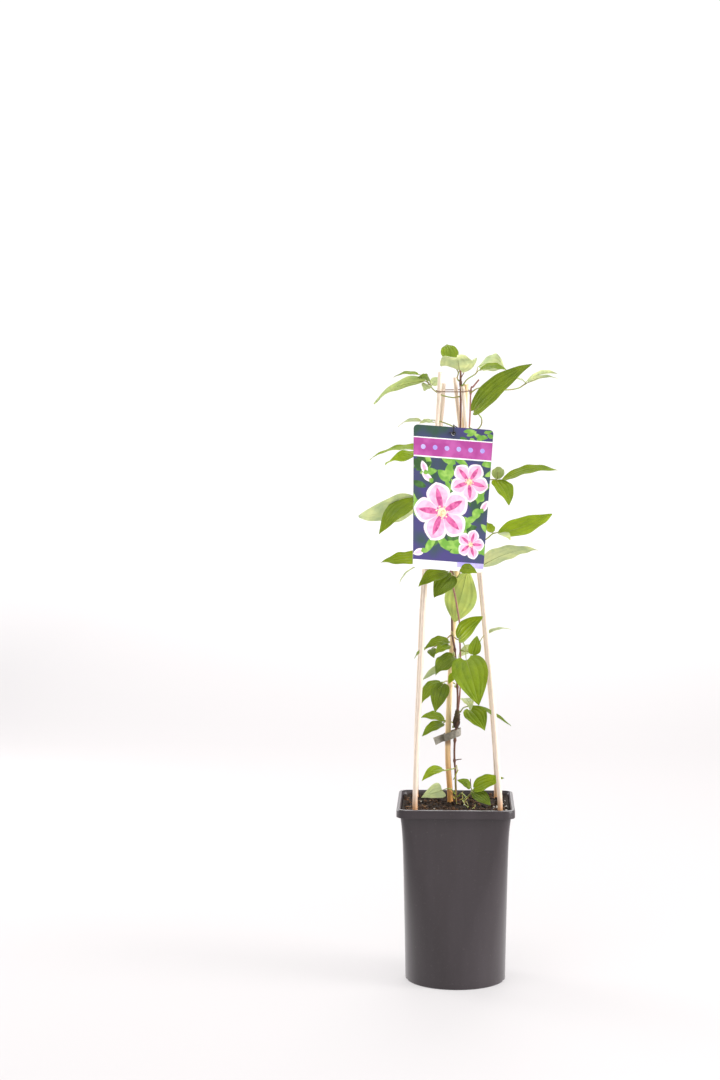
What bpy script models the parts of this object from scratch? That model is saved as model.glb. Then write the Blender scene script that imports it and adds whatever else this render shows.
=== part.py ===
"""A young clematis in a deep square-to-round nursery pot, trained up a pyramid of five canes.

The frame: millimetres in the tables below, metres in the meshes, +Z up, origin on the ground
under the middle of the pot, the front of the plant towards -Y.
"""

import math
from collections import namedtuple

import bmesh
import bpy
from mathutils import Vector, noise
from mathutils.bvhtree import BVHTree

MM = 0.001
GAP = 0.3          # clearance between pieces that touch, mm

# Pot: a flared square mouth that turns into a round foot
POT_HEIGHT = 213.0
RIM_WIDTH = 138.0
MOUTH_WIDTH = 133.0
NECK_WIDTH = 124.0     # what the plain taper alone would reach at the mouth
FLARE_POWER = 12       # how near the mouth the flare begins
FOOT_DIAMETER = 119.0
MOUTH_CORNER = 10.0
WALL = 1.4
WALL_LEVELS = (2.0, 40.0, 80.0, 120.0, 160.0, 186.0, 201.0)
SKIRT_DROP = 9.8
SKIRT_WALL = 1.2
FLOOR_UNDER = 4.0
FLOOR_TOP = 5.6
FOOT_WALL = 2.6
CORNER_STEPS = 5
PAD_R = 6.0
SLOT_ANGLES = (-15, 15, 165, 195)      # degrees from +X, two slots on each side of the foot
SLOT_WIDTH = 11.0
SLOT_HEIGHT = 1.8
SLOT_REACH = 12.0
DRAIN_HOLES = 8
DRAIN_HOLE_R = 4.0
DRAIN_CIRCLE_R = 36.0

# Soil: peat nearly level with the rim, in a shallow dish
SOIL_EDGE = 209.0
SOIL_DISH = 6.5
SOIL_DISH_SPREAD = 34.0
SOIL_ROUGH = 1.9
SOIL_RINGS = (1.0, 0.84, 0.66, 0.46, 0.24)

# Canes: where each runs, foot to head, and its radius at both ends
CANES = {
    "cane_front_left": ([(-46, -44, 135), (-47.4, -44, 212), (-45.6, -42.7, 280), (-42, -41, 345),
                         (-35.5, -32, 484), (-23, -15, 659), (-19.7, -10, 720)], 3.1, 2.3),
    "cane_back_left": ([(-46, 44, 135), (-47.9, 44, 217), (-47.3, 42.4, 285), (-45.4, 41, 334),
                        (-38, 31, 487), (-19, 12, 659), (-15.5, 9, 707)], 3.1, 2.5),
    "cane_front_right": ([(51, -44, 135), (52, -44, 210), (47, -41, 282), (42.3, -37, 345),
                          (28.8, -26, 484), (11, -9, 659), (7, -5, 703)], 3.1, 2.4),
    "cane_back_right": ([(48, 44, 135), (49, 44, 230), (44.5, 41, 299), (37, 36, 380),
                         (27, 29, 480), (3.5, 14.5, 659), (-2.5, 12, 714)], 3.1, 2.3),
    "cane_middle": ([(-5, 33, 120), (-6.4, 31, 206), (-9.6, 28, 270), (-6.4, 23.5, 367),
                     (-2.6, 20, 426), (4, 12.5, 560), (11, 5.5, 706)], 3.5, 3.0),
}
CANE_SIDES = 2     # bevel resolution: 4 + 2 * 2 = 8 sides
HOOP_HEIGHT = 698.0
HOOP_WIRE_R = 0.6

# Woody stems
STEM_MAIN = [(0.5, 31, 165), (0.5, 30, 208), (0, 28.5, 226), (-0.5, 27, 244), (-1.5, 26, 256),
             (-1.5, 24, 275), (0.5, 21, 300), (2, 18.5, 330), (1, 15.5, 358), (-1.5, 13, 391),
             (-4.2, 11.5, 407), (-5, 10.5, 430), (-4, 8.5, 480), (-2, 6, 540), (1, 3.5, 600),
             (4.4, 1.2, 658), (4.4, 1.5, 722)]
STEM_SECOND = [(1, 20.5, 306), (4, 14.5, 331), (5.5, 9, 360), (4.5, 4, 404), (4, 0, 424), (-1, -8, 455),
               (-6, -14, 480), (-5, -14, 500), (0, -11, 540), (9.5, -5, 600), (15, -3, 658),
               (16.5, -3.5, 698), (19.5, -4, 703), (26, -4.5, 711)]
STEM_R = 1.25
STEM_SECOND_R = 1.0
CROWN = [(0.1, 21.8, 296.5), (0.8, 21.0, 302), (1.3, 20.1, 309), (1.8, 19.0, 318)]
CROWN_R = 3.9
CROWN_END_R = 1.4
MAIN_NODES = (256, 346, 391, 498, 556, 610, 706)
SECOND_NODES = (404, 486, 584, 696)
NODE_R = 1.9
NODE_END_R = 0.9
NODE_REACH = 2.4
STUBS = [((-1.5, 26, 256), (7, 22, 258.5)), ((4.4, 1.5, 712), (8.5, -0.5, 719))]
STUB_FOOT_R = 0.7
STUB_END_R = 0.5

# Ties and label
TAPE_CENTRE = (-4.6, 25.8, 287.5)
TAPE_TILT = math.radians(20)
TAPE_WIDTH = 8.5
TAPE_THICK = 0.6
TAPE_LOOP = (10.0, 7.2)
TAPE_TAIL = 12.0
LABEL_CORNERS = {"top_left": (-50, -31, 659), "top_right": (43, -24, 652),
                 "foot_left": (-50, -62, 494), "foot_right": (31, -38, 486.5)}
LABEL_THICK = 0.6
LABEL_CORNER_R = 5.0
LABEL_HOLE_R = 2.4
LABEL_HOLE_AT = (0.5, 0.045)
TIE_WIRE_R = 0.6
TIED_CANE_R = 2.5      # the front right cane where the tie goes round it

# Foliage
BLADE_THICK = 0.7
ROWS = (0.015, 0.15, 0.36, 0.6, 0.82, 0.985)
SMALL_ROWS = (0.02, 0.18, 0.42, 0.7, 0.98)
COLUMNS = (-1.0, -0.5, 0.0, 0.5, 1.0)
SMALL_COLUMNS = (-1.0, 0.0, 1.0)
SMALL_WIDTH = 22.5
STALK_R = 0.8

# A leaf: the point where its stalk meets it, its tip, its width, the way its upper side faces, how far
# its middle rises above the straight line (share of its length), how far its edges rise (share of
# their distance from the midrib), how much they wave, how deep the notch at its base is, and its shape:
# 0.5 is widest a third of the way along, 1.0 is widest at the middle
Leaf = namedtuple("Leaf", "base tip width face bow fold wave lobe shape",
                  defaults=(0.08, 0.18, 0.0, 0.04, 0.5))
# A spray: one stalk from the stem to where its leaves part, and the leaves on it
Spray = namedtuple("Spray", "stalk leaves")

SPRAYS = {
    "leaf_over_soil": Spray([(-0.2, 29, 216), (-5, 22, 222), (-10, 9, 225)],
                            [Leaf((-16, 4, 224), (-40, -15, 219), 20, (-0.1, -0.9, 0.4), 0.04, 0.25, 0,
                                  0.02, 0.24)]),
    "leaf_low_left": Spray([(-1.5, 24.5, 247), (-5, 18, 247), (-14, 7, 247)],
                           [Leaf((-16, 5, 249), (-40, -15, 239), 15, (-0.3, -0.75, 0.6), 0.14, 0.2)]),
    "shoot_low_right": Spray([(2.2, 29, 212), (7, 23, 217), (13, 13, 213), (10, 4, 213), (16, -2, 219),
                              (19, -5, 224)],
                             [Leaf((17, 4, 228), (2, -4, 238), 12, (0.2, -0.75, 0.6), 0.1, 0.2),
                              Leaf((22, -5, 228), (56, -20, 244), 21, (-0.15, -0.75, 0.65), 0.08, 0.15),
                              Leaf((20, -8, 224), (41, -25, 212.5), 17, (0.15, -0.8, 0.6), 0.1, 0.1, 0,
                                   0.04, 0.8)]),
    "spray_knot_left": Spray([(-2.2, 22, 297), (-3, 34, 300), (-10, 34, 303), (-15, 24, 304),
                              (-13, 10, 305)],
                             [Leaf((-14, 6, 308), (-41, -10, 314), 17, (0.1, -0.6, 0.8), 0.1, 0.15),
                              Leaf((-16, 4, 304), (-40, -15, 292), 15, (-0.25, -0.75, 0.6), 0.1, 0.15)]),
    "spray_knot_right": Spray([(4, 18, 316), (9, 10, 322), (15, 2, 325)],
                              [Leaf((10, 2, 334), (18, -20, 325), 15, (0.2, -0.45, 0.88), 0.1, 0.1),
                               Leaf((17, -5, 321), (34, -25, 301), 27, (0.2, -0.85, 0.5), 0.12, 0.15, 0,
                                    0.12),
                               Leaf((26, 0, 325), (66, -12, 305.5), 11, (0.3, -0.25, 0.92), 0.02, 0.1)]),
    "spray_rise_left": Spray([(-0.5, 16.5, 346), (-1, 30, 348), (-10, 31, 351), (-14, 18, 352),
                              (-14, 2, 353)],
                             [Leaf((-18, -4, 354), (-41, -20, 332), 21, (-0.5, -0.7, 0.5), 0.15, 0.1),
                              Leaf((-15.5, -12, 353), (-24.5, -31, 322.5), 22, (-0.1, -0.95, 0.3), 0.14,
                                   0.12)]),
    "leaf_before_cane": Spray([(0, 13.5, 362), (-1, 11, 364)],
                              [Leaf((-1.5, 10, 363), (-9, 7, 351), 9, (-0.2, -0.9, 0.3), 0.1, 0.1)]),
    "spray_mid_left": Spray([(-2.2, 11, 384), (-3, 4, 389), (-2, -8, 388)],
                            [Leaf((-3, -13, 386), (-24, -35, 367), 24, (-0.3, -0.8, 0.5), 0.12, 0.1, 0.1),
                             Leaf((-14, 0, 374), (-40, -10, 358), 11, (0, -0.6, 0.8), 0.05, 0.1)]),
    "leaf_heart": Spray([(4.6, 4, 401), (7, -8, 404), (11, -24, 398)],
                        [Leaf((12, -31, 384), (27, -52, 334), 42, (0.05, -0.95, 0.35), 0.06, 0.1, 0.03,
                              0.08, 0.36)]),
    "spray_mid_right": Spray([(5, 5.5, 391), (11, 6, 390), (18, 7, 390)],
                             [Leaf((20, 12, 395), (2, 15, 382), 15, (-0.3, 0.7, 0.5), 0.05, 0.1),
                              Leaf((19, 2, 387), (25, 3, 409), 16, (0.35, -0.85, 0.3), 0.08, 0.2),
                              Leaf((36, 20, 409), (66, 36, 414.5), 9, (0, -0.2, 1), 0.1, 0.1)]),
    "spray_wing_left": Spray([(-6, 12, 408), (-12, 5, 404), (-15, 0, 401)],
                             [Leaf((-9, -3, 403), (-37, -15, 396), 17, (0, -0.55, 0.8), 0.14, 0.1),
                              Leaf((-9, -12, 399), (-24, -27, 391), 15, (0, -0.6, 0.8), 0.1, 0.1),
                              Leaf((-29, -2, 393), (-26, -19, 385), 11, (-0.3, -0.6, 0.8), 0.1, 0.1),
                              Leaf((-36, 2, 393), (-50, 7, 381), 11, (-0.5, -0.3, 0.8), 0.1, 0.1)]),
    "leaf_bright": Spray([(-5, 8.8, 413), (-3, 3, 408), (1, -3, 405)],
                         [Leaf((3, -5, 406), (31, -22, 435), 24, (-0.4, -0.8, 0.4), 0.08, 0.15)]),
    "leaf_broad": Spray([(-2.6, 7, 487), (4, 7, 486), (10, 5.5, 486)],
                        [Leaf((13, 1.6, 486), (-2, 5.6, 425), 38, (0.1, 0.95, 0.15), 0.03, 0.05, 0.04,
                              0.04, 1.1)]),
    "spray_below_label": Spray([(-7, -15.5, 484), (-8, -24, 486), (-6, -31, 485)],
                               [Leaf((-12, -35, 488), (-44, -48, 472), 22, (-0.3, -0.75, 0.6), 0.12, 0.1),
                                Leaf((-5, -36, 483), (-26, -49, 459), 26, (-0.1, -0.85, 0.5), 0.1, 0.1)]),
    "leaf_on_label": Spray([(-3.5, -16, 487), (-1, -30, 482), (1, -50, 482), (4, -60, 487)],
                           [Leaf((5.5, -61, 493), (24, -66, 489), 14, (0.1, -0.85, 0.5), 0.16, 0.1)]),
    "spray_left_low": Spray([(-5, 7.5, 500), (-12, 8, 503), (-24, 4, 505)],
                            [Leaf((-34, -3, 503), (-88, -30, 500), 25, (0, -0.6, 0.8), 0.0, 0.08, 0.03),
                             Leaf((-40, 10, 492), (-69, 20, 470), 12, (-0.55, 0.1, 0.83), 0.12, 0.1)]),
    "leaf_right_low": Spray([(-2.5, 6.5, 498), (8, 1, 497), (22, -8, 492)],
                            [Leaf((30, -13, 493), (95, -45, 517), 31, (-0.1, 0.6, 0.78), 0.08, 0.1)]),
    "spray_left_big": Spray([(-3.5, 5, 556), (-14, 0, 562), (-30, -14, 568)],
                            [Leaf((-44, -15, 566), (-115, -38, 553), 36, (0.1, 0.85, 0.5), -0.03, 0.08, 0.06,
                                  0.04, 0.6),
                             Leaf((-46, -24, 572), (-90, -56, 534), 32, (-0.45, -0.75, 0.5), 0.1, 0.1)]),
    "spray_right_mid": Spray([(2, -14, 520), (14, -12, 518), (33, -9, 523), (42, -9, 530), (48, -10, 532)],
                             [Leaf((51, -10, 531), (113, 10, 555), 29, (0, -0.65, 0.76), -0.05, 0.06, 0.02,
                                   0.04, 0.7),
                              Leaf((51, -14, 531), (63, -30, 525), 13, (0.2, -0.5, 0.85), 0.1, 0.1),
                              Leaf((41, -7, 532), (35, 0, 544), 13, (0.4, -0.7, 0.5), 0.1, 0.1)]),
    "spray_right_top": Spray([(8, -12.5, 584), (16, -11, 586), (30, -12, 592), (40, -12, 594)],
                             [Leaf((48, -12, 595), (49, -36, 611), 15, (0, 0.7, 0.7), 0.05, 0.15),
                              Leaf((55, -6, 593), (117, -25, 608), 22, (0, -0.5, 0.87), 0.1, 0.08),
                              Leaf((47, -15, 593), (62, -35, 566), 27, (0.5, -0.75, 0.4), 0.08, 0.15)]),
    "spray_left_top": Spray([(0, 2, 612), (-12, -3, 618), (-24, -7, 625)],
                            [Leaf((-34, -2, 627), (-104, 20, 620), 26, (0, -0.25, 0.97), 0.1, 0.1),
                             Leaf((-32, -10, 625), (-83, -35, 615), 20, (0, -0.5, 0.87), 0.06, 0.1, 0.12)]),
    "spray_label_head": Spray([(2.8, 1, 650), (-4, -2, 656), (-16, 1, 661)],
                              [Leaf((-44, 22, 662), (-71, 40, 656), 13, (0, -0.4, 0.9), 0.12, 0.1),
                               Leaf((-28, -4, 661), (-44, -9, 660), 12, (0, -0.4, 0.9), 0.12, 0.1)]),
    "spray_head_left": Spray([(2.8, 1, 691), (-5, -1, 690), (-18, -2, 693), (-27, -6, 699), (-31, -9, 704)],
                             [Leaf((-38, -10, 709), (-98, -30, 685), 25, (-0.1, 0.45, 0.89), 0.1, 0.1, 0.03),
                              Leaf((-46, 5, 717), (-75, 10, 715), 13, (0, -0.3, 0.95), 0.1, 0.1),
                              Leaf((-31, -13, 707), (-46, -22, 713), 15, (0.4, -0.5, 0.76), 0.25, 0.1),
                              Leaf((-34, -12, 705), (-38, -25, 698), 13, (0.2, -0.6, 0.76), 0.1, 0.1),
                              Leaf((-29, 4, 705), (-21, 12, 714), 11, (0.4, -0.6, 0.6), 0.1, 0.1)]),
    "leaf_long_right": Spray([(15.2, -10, 655), (22, -15, 652), (28, -20, 657), (29, -23, 665),
                              (25, -25, 671)],
                             [Leaf((20, -25, 674), (84, -55, 730), 31, (-0.4, -0.78, 0.48), 0.07, 0.12)]),
    "spray_head_right": Spray([(17.9, -8, 697), (26, -7, 701), (42, 0, 700), (58, 8, 699), (72, 13, 701),
                               (79, 14, 705)],
                              [Leaf((84, 20, 710), (119, 31, 720), 17, (0, 0.35, 0.93), 0.12, 0.1),
                               Leaf((85, 10, 708), (118, 0, 714), 16, (0, 0.2, 0.97), 0.1, 0.1),
                               Leaf((82, 15, 707), (66, 10, 713), 9, (0, -0.3, 0.95), 0.1, 0.1)]),
    "spray_head_back": Spray([(6, 0, 704), (12, -1, 711), (21, 0, 717)],
                             [Leaf((27, -5, 722), (58, -15, 723), 21, (0, -0.4, 0.92), 0.12, 0.1),
                              Leaf((27, 13, 727), (56, 31, 725), 29, (0, 0.75, 0.66), 0.2, 0.1, 0, 0.04,
                                    1.1)]),
    "spray_head_top": Spray([(4.4, 1.5, 710), (0.5, -2.5, 713), (1.5, -5, 717)],
                            [Leaf((3, -6, 722), (0, -45, 738), 43, (0, 0.55, 0.83), 0.06, 0.12, 0.08),
                             Leaf((-6, 6, 731), (-12, 34, 755), 21, (0, -0.7, 0.7), 0.06, 0.08, 0,
                                  0.04, 0.7)]),
    "spray_back_upper": Spray([(1.4, 3, 604), (-3, 11, 608), (-4, 22, 614)],
                              [Leaf((10, 30, 618), (34, 72, 606), 30, (0.2, 0.3, 0.93), 0.12, 0.12),
                               Leaf((-4, 31, 620), (-30, 68, 634), 27, (-0.2, -0.1, 0.97), 0.12, 0.12)]),
    "spray_back_middle": Spray([(-2, 7.5, 546), (-4, 16, 552), (-3, 28, 556)],
                               [Leaf((-8, 33, 557), (-38, 74, 545), 32, (-0.2, 0.3, 0.93), 0.12, 0.12),
                                Leaf((3, 34, 558), (14, 82, 566), 30, (0.1, 0, 1), 0.12, 0.12)]),
    "spray_back_lower": Spray([(-3.4, 10, 486), (-6, 28, 493), (0, 36, 496)],
                              [Leaf((2, 40, 498), (24, 84, 508), 30, (0.1, -0.1, 1), 0.12, 0.12)]),
}


def clear_scene():
    """Removes what a new file holds."""
    for stray in list(bpy.data.objects):
        bpy.data.objects.remove(stray, do_unlink=True)


def make_collection(name):
    """A collection in the scene."""
    group = bpy.data.collections.new(name)
    bpy.context.scene.collection.children.link(group)
    return group


def make_material(name, colour, roughness, metallic=0.0):
    """A Principled material in one colour (linear red, green, blue)."""
    material = bpy.data.materials.new(name)
    material.use_nodes = True
    shader = material.node_tree.nodes["Principled BSDF"]
    shader.inputs["Base Color"].default_value = (*colour, 1.0)
    shader.inputs["Roughness"].default_value = roughness
    shader.inputs["Metallic"].default_value = metallic
    return material


def add_mesh_object(name, mesh, material, group):
    """An object for a mesh, shaded smooth with its sharp edges kept."""
    mesh.materials.clear()
    mesh.materials.append(material)
    mesh.shade_smooth()
    mesh.set_sharp_from_angle(angle=math.radians(40))
    piece = bpy.data.objects.new(name, mesh)
    group.objects.link(piece)
    return piece


def smooth_path(points, steps):
    """A Catmull-Rom curve through the points, with some steps to each span."""
    p = [Vector(q) for q in points]
    p = [2 * p[0] - p[1], *p, 2 * p[-1] - p[-2]]
    line = []
    for i in range(1, len(p) - 2):
        for k in range(steps):
            t = k / steps
            line.append(0.5 * (2 * p[i] + (p[i + 1] - p[i - 1]) * t
                               + (2 * p[i - 1] - 5 * p[i] + 4 * p[i + 1] - p[i + 2]) * t * t
                               + (3 * p[i] - p[i - 1] - 3 * p[i + 1] + p[i + 2]) * t ** 3))
    return [*line, p[-2]]


def tube_mesh(points, radii, resolution, closed=False):
    """A round bar along the points (mm), as a closed mesh in metres. The radii go with the points."""
    curve = bpy.data.curves.new("bar", "CURVE")
    curve.dimensions = "3D"
    curve.bevel_depth = MM
    curve.bevel_resolution = resolution
    curve.use_fill_caps = not closed
    curve.twist_mode = "MINIMUM"
    spline = curve.splines.new("POLY")
    spline.points.add(len(points) - 1)
    spline.use_cyclic_u = closed
    for knot, at, radius in zip(spline.points, points, radii):
        knot.co = (*(Vector(at) * MM), 1.0)
        knot.radius = radius
    bar = bpy.data.objects.new("bar", curve)
    mesh = bpy.data.meshes.new_from_object(bar)
    bpy.data.objects.remove(bar)
    bpy.data.curves.remove(curve)
    shell = bmesh.new()
    shell.from_mesh(mesh)
    bmesh.ops.remove_doubles(shell, verts=shell.verts, dist=0.000005)
    bmesh.ops.recalc_face_normals(shell, faces=shell.faces)
    shell.to_mesh(mesh)
    shell.free()
    return mesh


def fuse(pieces):
    """One closed mesh from overlapping closed meshes, by a single Boolean union."""
    if len(pieces) == 1:
        return pieces[0]
    others = bpy.data.collections.new("to_fuse")
    bpy.context.scene.collection.children.link(others)
    first = bpy.data.objects.new("first", pieces[0])
    bpy.context.scene.collection.objects.link(first)
    for mesh in pieces[1:]:
        others.objects.link(bpy.data.objects.new("other", mesh))
    union = first.modifiers.new("union", "BOOLEAN")
    union.operation = "UNION"
    union.operand_type = "COLLECTION"
    union.collection = others
    union.solver = "MANIFOLD"
    bpy.context.view_layer.update()
    fused = bpy.data.meshes.new_from_object(first.evaluated_get(bpy.context.evaluated_depsgraph_get()))
    for spent in [first, *others.objects]:
        bpy.data.objects.remove(spent)
    bpy.data.collections.remove(others)
    return fused


def cut(piece, cutters, solver="EXACT"):
    """Takes the cutters away from a piece, with one Boolean that stays on it."""
    hollow = piece.modifiers.new("cut", "BOOLEAN")
    hollow.operation = "DIFFERENCE"
    hollow.operand_type = "COLLECTION"
    hollow.collection = cutters
    hollow.solver = solver


def add_cutter(mesh, cutters, name):
    """A mesh that only cuts: it is drawn as wire and left out of the model."""
    tool = bpy.data.objects.new(name, mesh)
    tool.display_type = "WIRE"
    tool.hide_render = True
    cutters.objects.link(tool)


def cylinder_mesh(centre, radius, depth, sides):
    """An upright cylinder standing on its centre point, in metres from mm."""
    shape = bmesh.new()
    bmesh.ops.create_cone(shape, cap_ends=True, segments=sides, radius1=radius * MM, radius2=radius * MM,
                          depth=depth * MM)
    x, y, z = centre
    bmesh.ops.translate(shape, verts=shape.verts, vec=(x * MM, y * MM, (z + depth / 2) * MM))
    mesh = bpy.data.meshes.new("cylinder")
    shape.to_mesh(mesh)
    shape.free()
    return mesh


def pot_outline(half, corner):
    """A square of that half width with round corners, as points in mm."""
    points = []
    for quarter in range(4):
        turn = quarter * math.pi / 2
        centre = Vector((half - corner, half - corner))
        for k in range(CORNER_STEPS + 1):
            angle = k / CORNER_STEPS * math.pi / 2
            x = centre.x + corner * math.cos(angle)
            y = centre.y + corner * math.sin(angle)
            points.append((x * math.cos(turn) - y * math.sin(turn), x * math.sin(turn) + y * math.cos(turn)))
    return points


def pot_section(z, inset=0.0):
    """Half width and corner radius of the pot's outer wall at a height, moved inwards by the inset."""
    rise = min(max(z / POT_HEIGHT, 0.0), 1.0)
    taper = (NECK_WIDTH - FOOT_DIAMETER) / 2 * rise
    flare = (MOUTH_WIDTH - NECK_WIDTH) / 2 * rise ** FLARE_POWER
    half = FOOT_DIAMETER / 2 + taper + flare
    roundest = FOOT_DIAMETER / 2 - 0.6
    squaring = rise * rise * (3 - 2 * rise)
    corner = roundest + (MOUTH_CORNER - roundest) * squaring
    return half - inset, max(corner - inset, 1.0)


def loft_mesh(rings):
    """A closed mesh through rings of equal point counts, with the first and last ring filled."""
    shell = bmesh.new()
    loops = [[shell.verts.new(Vector(p) * MM) for p in ring] for ring in rings]
    for lower, upper in zip(loops, loops[1:]):
        count = len(lower)
        for i in range(count):
            j = (i + 1) % count
            shell.faces.new((lower[i], lower[j], upper[j], upper[i]))
    shell.faces.new(list(reversed(loops[0])))
    shell.faces.new(loops[-1])
    bmesh.ops.recalc_face_normals(shell, faces=shell.faces)
    mesh = bpy.data.meshes.new("loft")
    shell.to_mesh(mesh)
    shell.free()
    return mesh


def flat_ring(z, half, corner):
    """A level ring of the pot's outline."""
    return [(x, y, z) for x, y in pot_outline(half, corner)]


def build_pot(group, cutters):
    """The pot: centre pad, foot ring, raised floor, thin wall and a rim with a hanging skirt."""
    black = make_material("pot_plastic", (0.045, 0.042, 0.043), 0.42)
    mouth, mouth_corner = pot_section(POT_HEIGHT)
    rim = RIM_WIDTH / 2
    rim_corner = mouth_corner + rim - mouth
    foot = FOOT_DIAMETER / 2
    rings = [flat_ring(0.0, PAD_R, PAD_R - 0.6),
             flat_ring(FLOOR_UNDER, PAD_R + 1.5, PAD_R + 0.9),
             flat_ring(FLOOR_UNDER, foot - FOOT_WALL, foot - FOOT_WALL - 0.6),
             flat_ring(0.0, foot - FOOT_WALL + 0.5, foot - FOOT_WALL - 0.1),
             flat_ring(0.0, foot - 1.0, foot - 1.6)]
    rings += [flat_ring(z, *pot_section(z)) for z in WALL_LEVELS]
    under = POT_HEIGHT - SKIRT_WALL
    rings += [flat_ring(under, mouth, mouth_corner),
              flat_ring(under, rim - SKIRT_WALL - 0.4, rim_corner - SKIRT_WALL - 0.4),
              flat_ring(POT_HEIGHT - SKIRT_DROP, rim - SKIRT_WALL - 0.2, rim_corner - SKIRT_WALL - 0.2),
              flat_ring(POT_HEIGHT - SKIRT_DROP, rim, rim_corner),
              flat_ring(POT_HEIGHT - 0.8, rim - 0.3, rim_corner - 0.3),
              flat_ring(POT_HEIGHT, rim - 1.1, rim_corner - 1.1),
              flat_ring(POT_HEIGHT, mouth - WALL + 0.6, mouth_corner - WALL + 0.6),
              flat_ring(POT_HEIGHT - 0.8, *pot_section(POT_HEIGHT - 0.8, WALL))]
    rings += [flat_ring(z, *pot_section(z, WALL)) for z in reversed(WALL_LEVELS[1:])]
    rings += [flat_ring(FLOOR_TOP, *pot_section(FLOOR_TOP, WALL)), flat_ring(FLOOR_TOP, PAD_R, PAD_R - 0.6)]
    pot = add_mesh_object("pot", loft_mesh(rings), black, group)
    for degrees in SLOT_ANGLES:
        turn = Vector((math.cos(math.radians(degrees)), math.sin(math.radians(degrees))))
        slot = bmesh.new()
        bmesh.ops.create_cube(slot, size=1.0)
        bmesh.ops.scale(slot, verts=slot.verts, vec=(SLOT_REACH * MM, SLOT_WIDTH * MM, 2 * SLOT_HEIGHT * MM))
        bmesh.ops.translate(slot, verts=slot.verts, vec=(foot * MM, 0, 0))
        for v in slot.verts:
            x, y = v.co.x, v.co.y
            v.co.x, v.co.y = x * turn.x - y * turn.y, x * turn.y + y * turn.x
        mesh = bpy.data.meshes.new("slot")
        slot.to_mesh(mesh)
        slot.free()
        add_cutter(mesh, cutters, "drain_slot_cutter")
    for k in range(DRAIN_HOLES):
        angle = (k + 0.5) * 2 * math.pi / DRAIN_HOLES
        hole = (DRAIN_CIRCLE_R * math.cos(angle), DRAIN_CIRCLE_R * math.sin(angle), FLOOR_UNDER - 1)
        add_cutter(cylinder_mesh(hole, DRAIN_HOLE_R, 4.0, 8), cutters, "drain_hole_cutter")
    cut(pot, cutters)
    return pot


def soil_height(x, y):
    """Height of the soil's surface: a shallow dish with lumps."""
    dish = SOIL_DISH * math.exp(-(x * x + y * y) / (2 * SOIL_DISH_SPREAD ** 2))
    broad = noise.noise(Vector((x * 0.09, y * 0.09, 3.1)))
    fine = noise.noise(Vector((x * 0.21, y * 0.21, 7.7)))
    return SOIL_EDGE - dish + SOIL_ROUGH * (broad + 0.6 * fine)


def build_soil(group, cutters):
    """The soil: the pot's filling, lumpy on top, with a plain hole for each cane and the stem."""
    peat = make_material("peat", (0.028, 0.016, 0.010), 0.95)
    rings = [flat_ring(FLOOR_TOP + GAP, PAD_R, PAD_R - 0.6)]
    for z in (FLOOR_TOP + GAP, *WALL_LEVELS[1:]):
        rings.append(flat_ring(z, *pot_section(z, WALL + GAP)))
    edge = flat_ring(SOIL_EDGE, *pot_section(SOIL_EDGE - 2 * SOIL_ROUGH, WALL + GAP))
    for share in SOIL_RINGS:
        rings.append([(x * share, y * share, soil_height(x * share, y * share)) for x, y, _ in edge])
    soil = add_mesh_object("soil", loft_mesh(rings), peat, group)
    for points, foot_r, _ in CANES.values():
        path = smooth_path(points, 2)[:5]
        path[0] = path[0] - Vector((0, 0, GAP))
        add_cutter(tube_mesh(path, [foot_r + GAP] * len(path), CANE_SIDES), cutters, "cane_cutter")
    stem = smooth_path(STEM_MAIN, 2)[:6]
    stem[0] = stem[0] - Vector((0, 0, GAP))
    add_cutter(tube_mesh(stem, [STEM_R + GAP] * len(stem), 1), cutters, "stem_cutter")
    cut(soil, cutters)
    return soil


def build_canes(group):
    """Five tapered canes, bowed in towards their heads."""
    for name, (points, foot_r, head_r) in CANES.items():
        straw = make_material(name + "_wood", (0.62, 0.40, 0.20), 0.5)
        path = smooth_path(points, 2)
        radii = [foot_r + (head_r - foot_r) * k / (len(path) - 1) for k in range(len(path))]
        add_mesh_object(name, tube_mesh(path, radii, CANE_SIDES), straw, group)


def point_at_height(points, z):
    """Where a smooth path crosses a height."""
    path = smooth_path(points, 8)
    for a, b in zip(path, path[1:]):
        if a.z <= z <= b.z:
            return a.lerp(b, (z - a.z) / (b.z - a.z))
    return path[-1]


def build_hoop(group):
    """The wire hoop that holds the five heads together: it follows the outside of the bundle."""
    rust = make_material("hoop_wire", (0.17, 0.09, 0.05), 0.5, 0.6)
    centres = []
    for points, foot_r, head_r in CANES.values():
        reach = (HOOP_HEIGHT - points[0][2]) / (points[-1][2] - points[0][2])
        radius = foot_r + (head_r - foot_r) * reach
        centres.append((point_at_height(points, HOOP_HEIGHT), radius + GAP + HOOP_WIRE_R))
    line = []
    turns = 24
    for k in range(turns):
        out = Vector((math.cos(2 * math.pi * k / turns), math.sin(2 * math.pi * k / turns), 0))
        centre, reach = max(centres, key=lambda c: c[0].dot(out) + c[1])
        line.append(centre + out * reach)
    mesh = tube_mesh(line, [HOOP_WIRE_R] * len(line), 0, closed=True)
    add_mesh_object("hoop", mesh, rust, group)


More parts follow.
